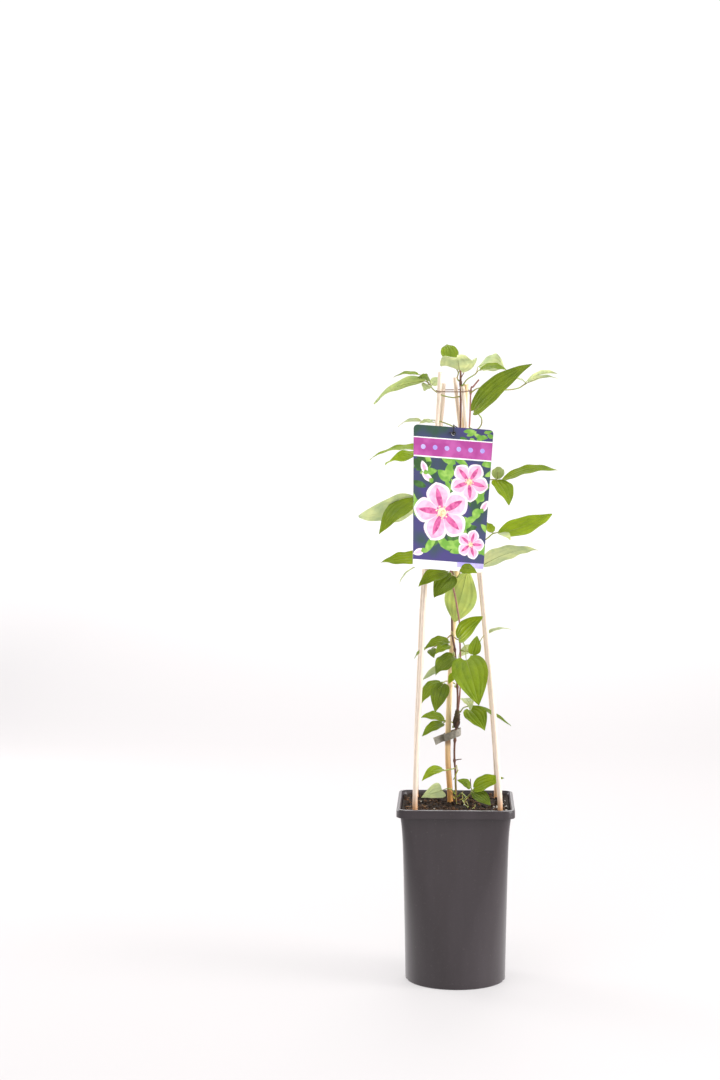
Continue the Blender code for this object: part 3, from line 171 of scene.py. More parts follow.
SPRAYS = {
    "leaf_over_soil": Spray(
        [(-0.2, 29, 216), (-5, 22, 222), (-10, 9, 225)],
        [Leaf((-16, 4, 224), (-40, -15, 219), 20, (-0.1, -0.9, 0.4), 0.04, 0.25, 0, 0.02, 0.24)]),
    "leaf_low_left": Spray(
        [(-1.5, 24.5, 247), (-5, 18, 247), (-14, 7, 247)],
        [Leaf((-16, 5, 249), (-40, -15, 239), 15, (-0.3, -0.75, 0.6), 0.14, 0.2)]),
    "shoot_low_right": Spray(
        [(2.2, 29, 212), (7, 23, 217), (13, 13, 213), (10, 4, 213), (16, -2, 219), (19, -5, 224)],
        [Leaf((17, 4, 228), (2, -4, 238), 12, (0.2, -0.75, 0.6), 0.1, 0.2),
         Leaf((22, -5, 228), (56, -20, 244), 21, (-0.15, -0.75, 0.65), 0.08, 0.15),
         Leaf((20, -8, 224), (41, -25, 212.5), 17, (0.15, -0.8, 0.6), 0.1, 0.1, 0, 0.04, 0.8)]),
    "spray_knot_left": Spray(
        [(-2.2, 22, 297), (-3, 34, 300), (-10, 34, 303), (-15, 24, 304), (-13, 10, 305)],
        [Leaf((-14, 6, 308), (-41, -10, 314), 17, (0.1, -0.6, 0.8), 0.1, 0.15),
         Leaf((-16, 4, 304), (-40, -15, 292), 15, (-0.25, -0.75, 0.6), 0.1, 0.15)]),
    "spray_knot_right": Spray(
        [(4, 18, 316), (9, 10, 322), (15, 2, 325)],
        [Leaf((10, 2, 334), (18, -20, 325), 15, (0.2, -0.45, 0.88), 0.1, 0.1),
         Leaf((17, -5, 321), (34, -25, 301), 27, (0.2, -0.85, 0.5), 0.12, 0.15, 0, 0.12),
         Leaf((26, 0, 325), (66, -12, 305.5), 11, (0.3, -0.25, 0.92), 0.02, 0.1)]),
    "spray_rise_left": Spray(
        [(-0.5, 16.5, 346), (-1, 30, 348), (-10, 31, 351), (-14, 18, 352), (-14, 2, 353)],
        [Leaf((-18, -4, 354), (-41, -20, 332), 21, (-0.5, -0.7, 0.5), 0.15, 0.1),
         Leaf((-15.5, -12, 353), (-24.5, -31, 322.5), 22, (-0.1, -0.95, 0.3), 0.14, 0.12)]),
    "leaf_before_cane": Spray(
        [(0, 13.5, 362), (-1, 11, 364)],
        [Leaf((-1.5, 10, 363), (-9, 7, 351), 9, (-0.2, -0.9, 0.3), 0.1, 0.1)]),
    "spray_mid_left": Spray(
        [(-2.2, 11, 384), (-3, 4, 389), (-2, -8, 388)],
        [Leaf((-3, -13, 386), (-24, -35, 367), 24, (-0.3, -0.8, 0.5), 0.12, 0.1, 0.1),
         Leaf((-14, 0, 374), (-40, -10, 358), 11, (0, -0.6, 0.8), 0.05, 0.1)]),
    "leaf_heart": Spray(
        [(4.6, 4, 401), (7, -8, 404), (11, -24, 398)],
        [Leaf((12, -31, 384), (27, -52, 334), 42, (0.05, -0.95, 0.35), 0.06, 0.1, 0.03, 0.08, 0.36)]),
    "spray_mid_right": Spray(
        [(5, 5.5, 391), (11, 6, 390), (18, 7, 390)],
        [Leaf((20, 12, 395), (2, 15, 382), 15, (-0.3, 0.7, 0.5), 0.05, 0.1),
         Leaf((19, 2, 387), (25, 3, 409), 16, (0.35, -0.85, 0.3), 0.08, 0.2),
         Leaf((36, 20, 409), (66, 36, 414.5), 9, (0, -0.2, 1), 0.1, 0.1)]),
    "spray_wing_left": Spray(
        [(-6, 12, 408), (-12, 5, 404), (-15, 0, 401)],
        [Leaf((-9, -3, 403), (-37, -15, 396), 17, (0, -0.55, 0.8), 0.14, 0.1),
         Leaf((-9, -12, 399), (-24, -27, 391), 15, (0, -0.6, 0.8), 0.1, 0.1),
         Leaf((-29, -2, 393), (-26, -19, 385), 11, (-0.3, -0.6, 0.8), 0.1, 0.1),
         Leaf((-36, 2, 393), (-50, 7, 381), 11, (-0.5, -0.3, 0.8), 0.1, 0.1)]),
    "leaf_bright": Spray(
        [(-5, 8.8, 413), (-3, 3, 408), (1, -3, 405)],
        [Leaf((3, -5, 406), (31, -22, 435), 24, (-0.4, -0.8, 0.4), 0.08, 0.15)]),
    "leaf_broad": Spray(
        [(-2.6, 7, 487), (4, 7, 486), (10, 5.5, 486)],
        [Leaf((13, 1.6, 486), (-2, 5.6, 425), 38, (0.1, 0.95, 0.15), 0.03, 0.05, 0.04, 0.04, 1.1)]),
    "spray_below_label": Spray(
        [(-7, -15.5, 484), (-8, -24, 486), (-6, -31, 485)],
        [Leaf((-12, -35, 488), (-44, -48, 472), 22, (-0.3, -0.75, 0.6), 0.12, 0.1),
         Leaf((-5, -36, 483), (-26, -49, 459), 26, (-0.1, -0.85, 0.5), 0.1, 0.1)]),
    "leaf_on_label": Spray(
        [(-3.5, -16, 487), (-1, -30, 482), (1, -50, 482), (4, -60, 487)],
        [Leaf((5.5, -61, 493), (24, -66, 489), 14, (0.1, -0.85, 0.5), 0.16, 0.1)]),
    "spray_left_low": Spray(
        [(-5, 7.5, 500), (-12, 8, 503), (-24, 4, 505)],
        [Leaf((-34, -3, 503), (-88, -30, 500), 25, (0, -0.6, 0.8), 0.0, 0.08, 0.03),
         Leaf((-40, 10, 492), (-69, 20, 470), 12, (-0.55, 0.1, 0.83), 0.12, 0.1)]),
    "leaf_right_low": Spray(
        [(-2.5, 6.5, 498), (8, 1, 497), (22, -8, 492)],
        [Leaf((30, -13, 493), (95, -45, 517), 31, (-0.1, 0.6, 0.78), 0.08, 0.1)]),
    "spray_left_big": Spray(
        [(-3.5, 5, 556), (-14, 0, 562), (-30, -14, 568)],
        [Leaf((-44, -15, 566), (-115, -38, 553), 36, (0.1, 0.85, 0.5), -0.03, 0.08, 0.06, 0.04, 0.6),
         Leaf((-46, -24, 572), (-90, -56, 534), 32, (-0.45, -0.75, 0.5), 0.1, 0.1)]),
    "spray_right_mid": Spray(
        [(2, -14, 520), (14, -12, 518), (33, -9, 523), (42, -9, 530), (48, -10, 532)],
        [Leaf((51, -10, 531), (113, 10, 555), 29, (0, -0.65, 0.76), -0.05, 0.06, 0.02, 0.04, 0.7),
         Leaf((51, -14, 531), (63, -30, 525), 13, (0.2, -0.5, 0.85), 0.1, 0.1),
         Leaf((41, -7, 532), (35, 0, 544), 13, (0.4, -0.7, 0.5), 0.1, 0.1)]),
    "spray_right_top": Spray(
        [(8, -12.5, 584), (16, -11, 586), (30, -12, 592), (40, -12, 594)],
        [Leaf((48, -12, 595), (49, -36, 611), 15, (0, 0.7, 0.7), 0.05, 0.15),
         Leaf((55, -6, 593), (117, -25, 608), 22, (0, -0.5, 0.87), 0.1, 0.08),
         Leaf((47, -15, 593), (62, -35, 566), 27, (0.5, -0.75, 0.4), 0.08, 0.15)]),
    "spray_left_top": Spray(
        [(0, 2, 612), (-12, -3, 618), (-24, -7, 625)],
        [Leaf((-34, -2, 627), (-104, 20, 620), 26, (0, -0.25, 0.97), 0.1, 0.1),
         Leaf((-32, -10, 625), (-83, -35, 615), 20, (0, -0.5, 0.87), 0.06, 0.1, 0.12)]),
    "spray_label_head": Spray(
        [(2.8, 1, 650), (-4, -2, 656), (-16, 1, 661)],
        [Leaf((-44, 22, 662), (-71, 40, 656), 13, (0, -0.4, 0.9), 0.12, 0.1),
         Leaf((-28, -4, 661), (-44, -9, 660), 12, (0, -0.4, 0.9), 0.12, 0.1)]),
    "spray_head_left": Spray(
        [(2.8, 1, 691), (-5, -1, 690), (-18, -2, 693), (-27, -6, 699), (-31, -9, 704)],
        [Leaf((-38, -10, 709), (-98, -30, 685), 25, (-0.1, 0.45, 0.89), 0.1, 0.1, 0.03),
         Leaf((-46, 5, 717), (-75, 10, 715), 13, (0, -0.3, 0.95), 0.1, 0.1),
         Leaf((-31, -13, 707), (-46, -22, 713), 15, (0.4, -0.5, 0.76), 0.25, 0.1),
         Leaf((-34, -12, 705), (-38, -25, 698), 13, (0.2, -0.6, 0.76), 0.1, 0.1),
         Leaf((-29, 4, 705), (-21, 12, 714), 11, (0.4, -0.6, 0.6), 0.1, 0.1)]),
    "leaf_long_right": Spray(
        [(15.2, -10, 655), (22, -15, 652), (28, -20, 657), (29, -23, 665), (25, -25, 671)],
        [Leaf((20, -25, 674), (84, -55, 730), 31, (-0.4, -0.78, 0.48), 0.07, 0.12)]),
    "spray_head_right": Spray(
        [(17.9, -8, 697), (26, -7, 701), (42, 0, 700), (58, 8, 699), (72, 13, 701), (79, 14, 705)],
        [Leaf((84, 20, 710), (119, 31, 720), 17, (0, 0.35, 0.93), 0.12, 0.1),
         Leaf((85, 10, 708), (118, 0, 714), 16, (0, 0.2, 0.97), 0.1, 0.1),
         Leaf((82, 15, 707), (66, 10, 713), 9, (0, -0.3, 0.95), 0.1, 0.1)]),
    "spray_head_back": Spray(
        [(6, 0, 704), (12, -1, 711), (21, 0, 717)],
        [Leaf((27, -5, 722), (58, -15, 723), 21, (0, -0.4, 0.92), 0.12, 0.1),
         Leaf((27, 13, 727), (56, 31, 725), 29, (0, 0.75, 0.66), 0.2, 0.1, 0, 0.04, 1.1)]),
    "spray_head_top": Spray(
        [(4.4, 1.5, 710), (0.5, -2.5, 713), (1.5, -5, 717)],
        [Leaf((3, -6, 722), (0, -45, 738), 43, (0, 0.55, 0.83), 0.06, 0.12, 0.08),
         Leaf((-6, 6, 731), (-12, 34, 755), 21, (0, -0.7, 0.7), 0.06, 0.08, 0, 0.04, 0.7)]),
    "spray_back_upper": Spray(
        [(1.4, 3, 604), (-3, 11, 608), (-4, 22, 614)],
        [Leaf((10, 30, 618), (34, 72, 606), 30, (0.2, 0.3, 0.93), 0.12, 0.12),
         Leaf((-4, 31, 620), (-30, 68, 634), 27, (-0.2, -0.1, 0.97), 0.12, 0.12)]),
    "spray_back_middle": Spray(
        [(-2, 7.5, 546), (-4, 16, 552), (-3, 28, 556)],
        [Leaf((-8, 33, 557), (-38, 74, 545), 32, (-0.2, 0.3, 0.93), 0.12, 0.12),
         Leaf((3, 34, 558), (14, 82, 566), 30, (0.1, 0, 1), 0.12, 0.12)]),
    "spray_back_lower": Spray(
        [(-3.4, 10, 486), (-6, 28, 493), (0, 36, 496)],
        [Leaf((2, 40, 498), (24, 84, 508), 30, (0.1, -0.1, 1), 0.12, 0.12)]),
}

# Thin stalks that no longer carry leaves: living or withered, then x, y and height above the peat
CURLS = [
    ("living", [(-2.9, 44.3, 3), (0, 41.2, 1), (5.4, 40.5, 1), (8.3, 41, 3), (7.5, 44.1, 7), (9, 45.7, 9)]),
    ("living", [(8.3, 31, 2), (12.1, 15, 0.8), (17.7, -5.2, 0.8), (22.5, -2.1, 2), (23.1, 2.4, 4)]),
    ("living", [(9.7, 29.3, 0.5), (14.5, 30.1, 5), (18.9, 32.5, 9), (19.4, 34, 10.5)]),
    ("living", [(12.6, 32.1, 0.6), (15, 17.8, 0.6), (14.4, 5.9, 0.6), (9.2, 22.3, 0.6)]),
    ("living", [(0.9, 22, 47), (1.7, 22, 40), (-0.6, 23, 34), (0.2, 24, 25), (0, 25, 16), (0.3, 24, 7),
                (1, 20, 0.5)]),
    ("living", [(-2.9, 23, 29), (-1, 21.5, 33), (2.5, 21.5, 40), (3.8, 22, 41.4)]),
    ("withered", [(17.4, -2, 36.6), (17.8, -2, 30.4), (18.6, -3, 23.6), (19, -4, 19)]),
]

# The shade of each leaf of a spray, in order. The pale shade also stands for a painted sheen on leaves whose
# tops catch the light
SHADE_NAMES = {"b": "bright", "m": "mid", "d": "dark", "p": "pale"}
SHADES = {
    "leaf_over_soil": "p", "leaf_low_left": "b", "shoot_low_right": "mbd", "spray_knot_left": "mm",
    "spray_knot_right": "pmd", "spray_rise_left": "md", "leaf_before_cane": "b", "spray_mid_left": "dp",
    "leaf_heart": "m", "spray_mid_right": "pmp", "spray_wing_left": "mmdm", "leaf_bright": "b",
    "leaf_broad": "p", "spray_below_label": "md", "leaf_on_label": "m", "spray_left_low": "bp",
    "leaf_right_low": "p", "spray_left_big": "pm", "spray_right_mid": "bpm", "spray_right_top": "mmm",
    "spray_left_top": "bb", "spray_label_head": "pp", "spray_head_left": "bmdpp", "leaf_long_right": "d",
    "spray_head_right": "ppp", "spray_head_back": "mp", "spray_head_top": "pm", "spray_back_upper": "mb",
    "spray_back_middle": "bm", "spray_back_lower": "b",
}
# Sprays that the light shines through from behind, so that their undersides look green
GREEN_BELOW = {"leaf_broad", "spray_left_top"}

# A modelled blade: its rows, its columns from the midrib to the edge, and where its main veins are
BLADE_ROWS = 26
BLADE_COLUMNS = (0.0, 0.06, 0.14, 0.25, 0.34, 0.42, 0.5, 0.6, 0.68, 0.74, 0.8, 0.9, 1.0)
MAIN_VEINS = (0.0, 0.42, 0.74)
TYPICAL_WIDTH = 22                     # a leaf of this width has veins of full depth
RIDGE_STEPS = 12
STALK_STEPS = 12

# The studio, in metres: the floor's front edge, where it curves up, and how far it reaches
FLOOR_FRONT = -6.0
CURVE_FROM = 1.6
CURVE_R = 1.4
CURVE_STEPS = 16
STAGE_REACH = 7.0
LIT_POINT = (0, 0, 0.4)
CAMERA_LENS = 71.47
CAMERA_AT = (0.0, -2.526, 0.674)
CAMERA_TURN = (math.pi / 2 - 0.060, 0.0, 0.045)


# Sizes and colours that a user may change

def linear(hex_colour):
    """An sRGB hex colour as linear red, green, blue and alpha."""
    parts = [int(hex_colour[i:i + 2], 16) / 255 for i in (1, 3, 5)]
    return (*[p / 12.92 if p <= 0.04045 else ((p + 0.055) / 1.055) ** 2.4 for p in parts], 1.0)


def colour_property(name, description, hex_colour):
    """A colour that shows in the sidebar."""
    return FloatVectorProperty(name=name, description=description, subtype="COLOR", size=4, min=0.0,
                               max=1.0, default=linear(hex_colour))


def length_property(name, description, metres):
    """A length that shows in the sidebar in the scene's units."""
    return FloatProperty(name=name, description=description, unit="LENGTH", min=0.0, default=metres)


def count_property(name, description, number, most):
    """A count that shows in the sidebar."""
    return IntProperty(name=name, description=description, default=number, min=0, max=most)


def light_property(name, description, amount, unit="NONE"):
    """A brightness or a power that shows in the sidebar."""
    return FloatProperty(name=name, description=description, unit=unit, min=0.0, default=amount)


class PotSettings(bpy.types.PropertyGroup):
    """The nursery pot."""
    height: length_property("Height", "From the ground to the top of the rim", POT_BOX[1][2])
    rim_width: length_property("Rim width", "Across the rim's skirt, side to side",
                               POT_BOX[1][0] - POT_BOX[0][0])
    mouth_width: length_property("Mouth width", "Across the flared mouth", 0.133)
    neck_width: length_property("Neck width", "What the plain taper alone would reach at the mouth", 0.124)
    foot_diameter: length_property("Foot diameter", "Across the round foot", 0.119)
    wall: length_property("Wall", "Thickness of the body's wall", 0.0014)
    colour: colour_property("Plastic", "The recycled dark grey plastic", "#362f32")
    scuffed: colour_property("Scuffed plastic", "Where handling has dulled it", "#3e373b")


class SoilSettings(bpy.types.PropertyGroup):
    """The peat and what lies on it."""
    edge: length_property("Edge height", "Height of the peat where it meets the pot", 0.209)
    dish: length_property("Dish", "How far its middle lies under its edge", 0.0065)
    rough: length_property("Roughness", "Height of its lumps", 0.0019)
    crumbs: count_property("Crumbs", "Loose crumbs that lie on the peat", 620, 2000)
    fibres: count_property("Fibres", "Pale root and bark fibres", 150, 600)
    grains: count_property("Grains", "White grit among the crumbs", 44, 100)
    dark: colour_property("Damp peat", "The deepest brown", "#17100c")
    brown: colour_property("Peat crumb", "Crumbs that have dried", "#3a2a1e")


class CaneSettings(bpy.types.PropertyGroup):
    """The canes and the wire hoop round their heads."""
    pale: colour_property("Pale cane", "Upper part of the corner canes", "#f2decb")
    warm: colour_property("Damp foot", "Foot of the corner canes, browned by the wet peat", "#dda066")
    middle: colour_property("Middle cane", "The thicker cane in the middle", "#fbdcaa")
    middle_foot: colour_property("Middle cane's foot", "Its browned foot", "#eda85c")
    wire: colour_property("Wire", "The brown coat of the hoop's wire", "#7c5a40")
    wire_radius: length_property("Wire radius", "Half the wire's thickness", 0.0006)


class StemSettings(bpy.types.PropertyGroup):
    """The woody stems."""
    main_radius: length_property("Main stem", "Radius of the older stem", 0.00125)
    second_radius: length_property("Second stem", "Radius of the younger stem", 0.001)
    bark: colour_property("Bark", "Older bark", "#7a5242")
    young: colour_property("Young bark", "Purple-red bark of the young wood", "#b07a72")
    crown: colour_property("Crown", "The old crown's dark shaggy bark", "#4a3126")
    mossed: colour_property("Mossed crown", "Where moss has greened the crown", "#5c4f2e")


class FoliageSettings(bpy.types.PropertyGroup):
    """The leaves and their stalks."""
    stalk_radius: length_property("Stalk radius", "Half the thickness of a spray's stalk", 0.0008)
    blade: length_property("Blade", "Thickness of a leaf", 0.00036)
    relief: length_property("Relief", "How deep the main veins lie in a leaf", 0.00034)
    bright: colour_property("Bright leaf", "Young leaves in full light", "#92a91c")
    mid: colour_property("Leaf", "Most leaves", "#7c931e")
    dark: colour_property("Dark leaf", "Older leaves in shade", "#667b24")
    # The pale leaf colour is partly the own colour of thin or greyish leaves, and partly a painted sheen on
    # leaves whose tops catch the light
    pale: colour_property("Pale leaf", "Thin or greyish leaves", "#c3cca4")
    # The underside colour is partly the paler dull side's own, and partly painted paler to stand in for
    # light that shines through the leaf from behind
    under: colour_property("Underside", "The dull side of most leaves", "#e3e8cc")
    under_green: colour_property("Green underside", "The dull side of leaves that the light shines through",
                                 "#d9e78e")
    vein: colour_property("Veins", "The main veins", "#b4c35a")
    shine: colour_property("Light through a leaf", "Tint of the light that comes through a green leaf",
                           "#b7c92c")
    pale_shine: colour_property("Light through a pale leaf",
                                "Tint of the light that comes through a pale leaf", "#e6ecd2")
    stalk: colour_property("Stalk", "Green leaf stalks", "#8fa14c")


class LabelSettings(bpy.types.PropertyGroup):
    """The plant label and its print."""
    thickness: length_property("Thickness", "Thickness of the card", 0.0006)
    corner: length_property("Corner", "Radius of its corners", 0.005)
    ground: colour_property("Ground", "The print's violet ground", "#463e78")
    band: colour_property("Band", "The print's magenta band", "#a9428f")
    petal: colour_property("Petal", "The print's pink petals", "#f3c4da")
    stripe: colour_property("Petal stripe", "The deeper pink along each petal", "#dd6ca6")
    leaf: colour_property("Printed leaf", "The print's green leaves", "#6ea33c")
    lilac: colour_property("Lilac", "The print's lilac strip", "#a99be8")


class TieSettings(bpy.types.PropertyGroup):
    """The tying tape and the label's tie."""
    width: length_property("Tape width", "Width of the tape", 0.0085)
    thickness: length_property("Tape thickness", "Thickness of the tape", 0.0006)
    tape: colour_property("Tape", "Grey-green tape", "#8f887c")
    tie: colour_property("Label tie", "The black tie", "#1c1c1e")


class StageSettings(bpy.types.PropertyGroup):
    """The studio."""
    floor: colour_property("Floor", "The pale floor and backdrop", "#928f8f")
    # The glow is painted light: the backdrop gives it off itself, and no lamp stands behind it
    glow: light_property("Glow", "Light that shines through the backdrop", 0.45)
    key: light_property("Top light", "Power of the soft light overhead", 24.0, "POWER")
    side: light_property("Side lights", "Power of the soft side lights", 24.0, "POWER")
    front_sky: light_property("Front surround", "Brightness of the room in front", 0.58)
    back_sky: light_property("Back surround", "Brightness of the room behind", 1.25)


# Nodes, meshes and pieces

def add_node(tree, kind, inputs=None, stops=(), **settings):
    """Adds a shader node with its settings, ramp stops, and values or links for its inputs."""
    made = tree.nodes.new("ShaderNode" + kind)
    for name, value in settings.items():
        setattr(made, name, value)
    for name, value in (inputs or {}).items():
        if isinstance(value, bpy.types.NodeSocket):
            tree.links.new(value, made.inputs[name])
        else:
            made.inputs[name].default_value = value
    for k, (place, colour) in enumerate(stops):
        stop = made.color_ramp.elements[k] if k < 2 else made.color_ramp.elements.new(place)
        stop.position, stop.color = place, colour
    return made


def new_material(name):
    """An empty material, its node tree, and the output that gives a point in the object's coordinates."""
    material = bpy.data.materials.new(name)
    material.use_nodes = True
    tree = material.node_tree
    tree.nodes.clear()
    return material, tree, add_node(tree, "TexCoord").outputs["Object"]


def finished(material, shader):
    """Joins the last shader to the material's output, and gives the material back."""
    add_node(material.node_tree, "OutputMaterial", {"Surface": shader})
    return material


def principled(tree, colour, roughness, more):
    """The surface shader with its colour, its roughness and the inputs that only this material needs."""
    inputs = {"Base Color": colour, "Roughness": roughness, **more}
    return add_node(tree, "BsdfPrincipled", inputs).outputs[0]


def cloudy(tree, place, scale, detail, roughness=0.5):
    """A noise texture's value. The scale is in cells for each metre."""
    inputs = {"Vector": place, "Scale": scale, "Detail": detail, "Roughness": roughness}
    return add_node(tree, "TexNoise", inputs).outputs["Fac"]


def stretched(tree, place, scale):
    """The coordinates, stretched on each axis."""
    return add_node(tree, "Mapping", {"Vector": place, "Scale": scale}).outputs[0]


def upright(tree, place):
    """The height part of the coordinates, in metres."""
    return add_node(tree, "SeparateXYZ", {"Vector": place}).outputs["Z"]


def ramp(tree, value, *stops):
    """A colour for each value, by stops of a place from 0 to 1 and a colour."""
    return add_node(tree, "ValToRGB", {"Fac": value}, stops=stops).outputs["Color"]


def remap(tree, value, start, end=(0.0, 1.0), way="LINEAR"):
    """A value taken from the range at the start to the range at the end, and kept inside it."""
    inputs = {"Value": value, "From Min": start[0], "From Max": start[1], "To Min": end[0], "To Max": end[1]}
    return add_node(tree, "MapRange", inputs, interpolation_type=way).outputs[0]


def maths(tree, operation, *values):
    """One step of arithmetic on numbers or outputs."""
    return add_node(tree, "Math", dict(enumerate(values)), operation=operation).outputs[0]


def blend(tree, share, first, second, way="MIX"):
    """Two colours mixed by a share of the second."""
    inputs = {0: share, 6: first, 7: second}
    return add_node(tree, "Mix", inputs, data_type="RGBA", blend_type=way).outputs[2]


def bumps(tree, height, strength, depth):
    """A normal that makes a height look like relief of that depth in metres."""
    return add_node(tree, "Bump", {"Height": height, "Strength": strength, "Distance": depth}).outputs[0]


def grey(value):
    """A grey ramp colour."""
    return (value, value, value, 1.0)


def scaled(colour, *factors):
    """A colour with its channels scaled by one factor or by three, none above full."""
    three = factors if len(factors) == 3 else factors * 3
    return tuple(min(c * f, 1.0) for c, f in zip(colour, three)) + (1.0,)


def smooth_path(points, steps):
    """A Catmull-Rom curve through the points, with some steps to each span."""
    p = [Vector(q) for q in points]
    p = [2 * p[0] - p[1], *p, 2 * p[-1] - p[-2]]
    line = []
    for i in range(1, len(p) - 2):
        for k in range(steps):
            t = k / steps
            line.append(0.5 * (2 * p[i] + (p[i + 1] - p[i - 1]) * t
                               + (2 * p[i - 1] - 5 * p[i] + 4 * p[i + 1] - p[i + 2]) * t * t
                               + (3 * p[i] - p[i - 1] - 3 * p[i + 1] + p[i + 2]) * t ** 3))
    return [*line, p[-2]]


def point_at_height(points, z):
    """Where a smooth path crosses a height."""
    path = smooth_path(points, 8)
    for a, b in zip(path, path[1:]):
        if a.z <= z <= b.z:
            return a.lerp(b, (z - a.z) / (b.z - a.z))
    return path[-1]


def sweep(shell, path, radii, sides, slot=0, closed=False):
    """Adds a round bar along a path in mm, with a radius for each point; a closed one joins its ends."""
    rings = []
    normal = before = None
    count = len(path)
    for i, at in enumerate(path):
        ahead = path[(i + 1) % count] if closed else path[min(i + 1, count - 1)]
        behind = path[i - 1] if closed else path[max(i - 1, 0)]
        tangent = (ahead - behind).normalized()
        if normal is None:
            normal = tangent.orthogonal().normalized()
        else:
            normal = before.rotation_difference(tangent) @ normal
            normal = (normal - tangent * normal.dot(tangent)).normalized()
        before = tangent
        side = tangent.cross(normal)
        turn = [2 * math.pi * k / sides for k in range(sides)]
        rings.append([shell.verts.new((at + (normal * math.cos(a) + side * math.sin(a)) * radii[i]) * MM)
                      for a in turn])
    pairs = list(zip(rings, rings[1:]))
    if closed:
        start = min(range(sides), key=lambda k: (rings[0][k].co - rings[-1][0].co).length)
        pairs.append((rings[-1], rings[0][start:] + rings[0][:start]))
    else:
        for end in (rings[0], rings[-1]):
            shell.faces.new(end).material_index = slot
    for low, high in pairs:
        for k in range(sides):
            m = (k + 1) % sides
            shell.faces.new((low[k], low[m], high[m], high[k])).material_index = slot


def add_piece(name, shell, materials, nodes, sharp):
    """A shell becomes an object on the root body that stands for the CAD nodes, if any. Edges bent by more
    than the sharp angle in degrees stay sharp."""
    bmesh.ops.recalc_face_normals(shell, faces=shell.faces)
    mesh = bpy.data.meshes.new(name)
    shell.to_mesh(mesh)
    shell.free()
    for material in materials:
        mesh.materials.append(material)
    mesh.shade_smooth()
    mesh.set_sharp_from_angle(angle=math.radians(sharp))
    piece = bpy.data.objects.new(name, mesh)
    bpy.context.scene.collection.objects.link(piece)
    if nodes:
        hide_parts(*nodes)
    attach(piece, "root")
    return piece


def loft(shell, rings):
    """Joins rings of equal point counts in mm into a closed skin, with its first and last ring filled."""
    loops = [[shell.verts.new(Vector(p) * MM) for p in ring] for ring in rings]
    for lower, upper in zip(loops, loops[1:]):
        count = len(lower)
        for i in range(count):
            j = (i + 1) % count
            shell.faces.new((lower[i], lower[j], upper[j], upper[i]))
    shell.faces.new(list(reversed(loops[0])))
    shell.faces.new(loops[-1])


def level_ring(z, half, corner):
    """A level ring in mm: a square of that half width with round corners."""
    straight = half - corner
    side = []
    for k in range(CORNER_STEPS + 1):
        angle = k / CORNER_STEPS * math.pi / 2
        side.append((straight + corner * math.cos(angle), straight + corner * math.sin(angle)))
    side += [(straight * (1 - k / 3), half) for k in range(1, 6)]
    ring = []
    for quarter in range(4):
        turn = quarter * math.pi / 2
        ring += [(x * math.cos(turn) - y * math.sin(turn), x * math.sin(turn) + y * math.cos(turn), z)
                 for x, y in side]
    return ring


def round_ring(z, radius):
    """A level ring in mm that is all but round."""
    return level_ring(z, radius, radius - FOOT_FLAT)


def pot_section(pot, z, inset=0.0):
    """Half width and corner radius of the pot's outer wall at a height in mm, moved inwards by the inset."""
    mouth, neck, foot = pot.mouth_width / MM / 2, pot.neck_width / MM / 2, pot.foot_diameter / MM / 2
    rise = min(max(z / (pot.height / MM), 0.0), 1.0)
    half = foot + (neck - foot) * rise + (mouth - neck) * rise ** FLARE_POWER
    roundest = foot - FOOT_FLAT
    squaring = rise * rise * (3 - 2 * rise)
    return half - inset, max(roundest + (MOUTH_CORNER - roundest) * squaring - inset, 1.0)


def unevenness(x, y, scale, layer):
    """The smooth unevenness of level ground at a place, from about -1 to 1."""
    return noise.noise(Vector((x * scale, y * scale, layer)))


def soil_height(soil, x, y):
    """Height of the peat in mm: a shallow dish with lumps."""
    dish = soil.dish / MM * math.exp(-(x * x + y * y) / (2 * SOIL_DISH_SPREAD ** 2))
    lumps = unevenness(x, y, 0.09, 3.1) + 0.6 * unevenness(x, y, 0.21, 7.7)
    return soil.edge / MM - dish + soil.rough / MM * lumps


def cut_away(piece, shell):
    """Cuts a shell's closed shapes out of a piece, and keeps only the cut mesh."""
    bmesh.ops.recalc_face_normals(shell, faces=shell.faces)
    mesh = bpy.data.meshes.new("cutter")
    shell.to_mesh(mesh)
    shell.free()
    cutter = bpy.data.objects.new("cutter", mesh)
    bpy.context.scene.collection.objects.link(cutter)
    cut = piece.modifiers.new("cut", "BOOLEAN")
    cut.operation, cut.object, cut.solver = "DIFFERENCE", cutter, "EXACT"
    bpy.context.view_layer.update()
    done = bpy.data.meshes.new_from_object(piece.evaluated_get(bpy.context.evaluated_depsgraph_get()))
    piece.modifiers.remove(cut)
    piece.data = done
    bpy.data.objects.remove(cutter)


# Materials

def moulded_polypropylene(pot):
    """Recycled polypropylene, injection moulded: dark satin grey with soft cloudy streaks down the walls."""
    material, tree, place = new_material("polypropylene_moulded_dark_grey")
    # Flow streaks about 25 mm wide that run the height of the wall
    run = stretched(tree, place, (40.0, 40.0, 5.0))
    cloud = cloudy(tree, run, 1.0, 5.0, 0.6)
    tone = ramp(tree, cloud, (0.35, tuple(pot.colour)), (0.75, tuple(pot.scuffed)))
    # Fine dust and handling marks, 2 to 3 mm apart
    dust = cloudy(tree, place, 380.0, 6.0, 0.7)
    speck = ramp(tree, dust, (0.6, grey(0.0)), (0.78, grey(0.35)))
    coat = blend(tree, speck, tone, linear("#7a7270"))
    dull = remap(tree, cloud, (0.0, 1.0), (0.28, 0.42))
    # The mould's spark-eroded texture, drawn 0.8 mm coarse so that it shows
    grain = cloudy(tree, place, 1200.0, 2.0)
    wave = cloudy(tree, run, 0.6, 1.0)
    bump = bumps(tree, maths(tree, "MULTIPLY_ADD", wave, 6.0, grain), 0.12, 0.0002)
    # The tall wall is hazed by handling and shows a soft sheen where it turns away; the lip is not
    haze = remap(tree, upright(tree, place), (0.185, 0.2), (0.32, 0.0))
    return finished(material, principled(tree, coat, dull, {
        "IOR": 1.49, "Sheen Weight": haze, "Sheen Roughness": 0.35, "Normal": bump}))


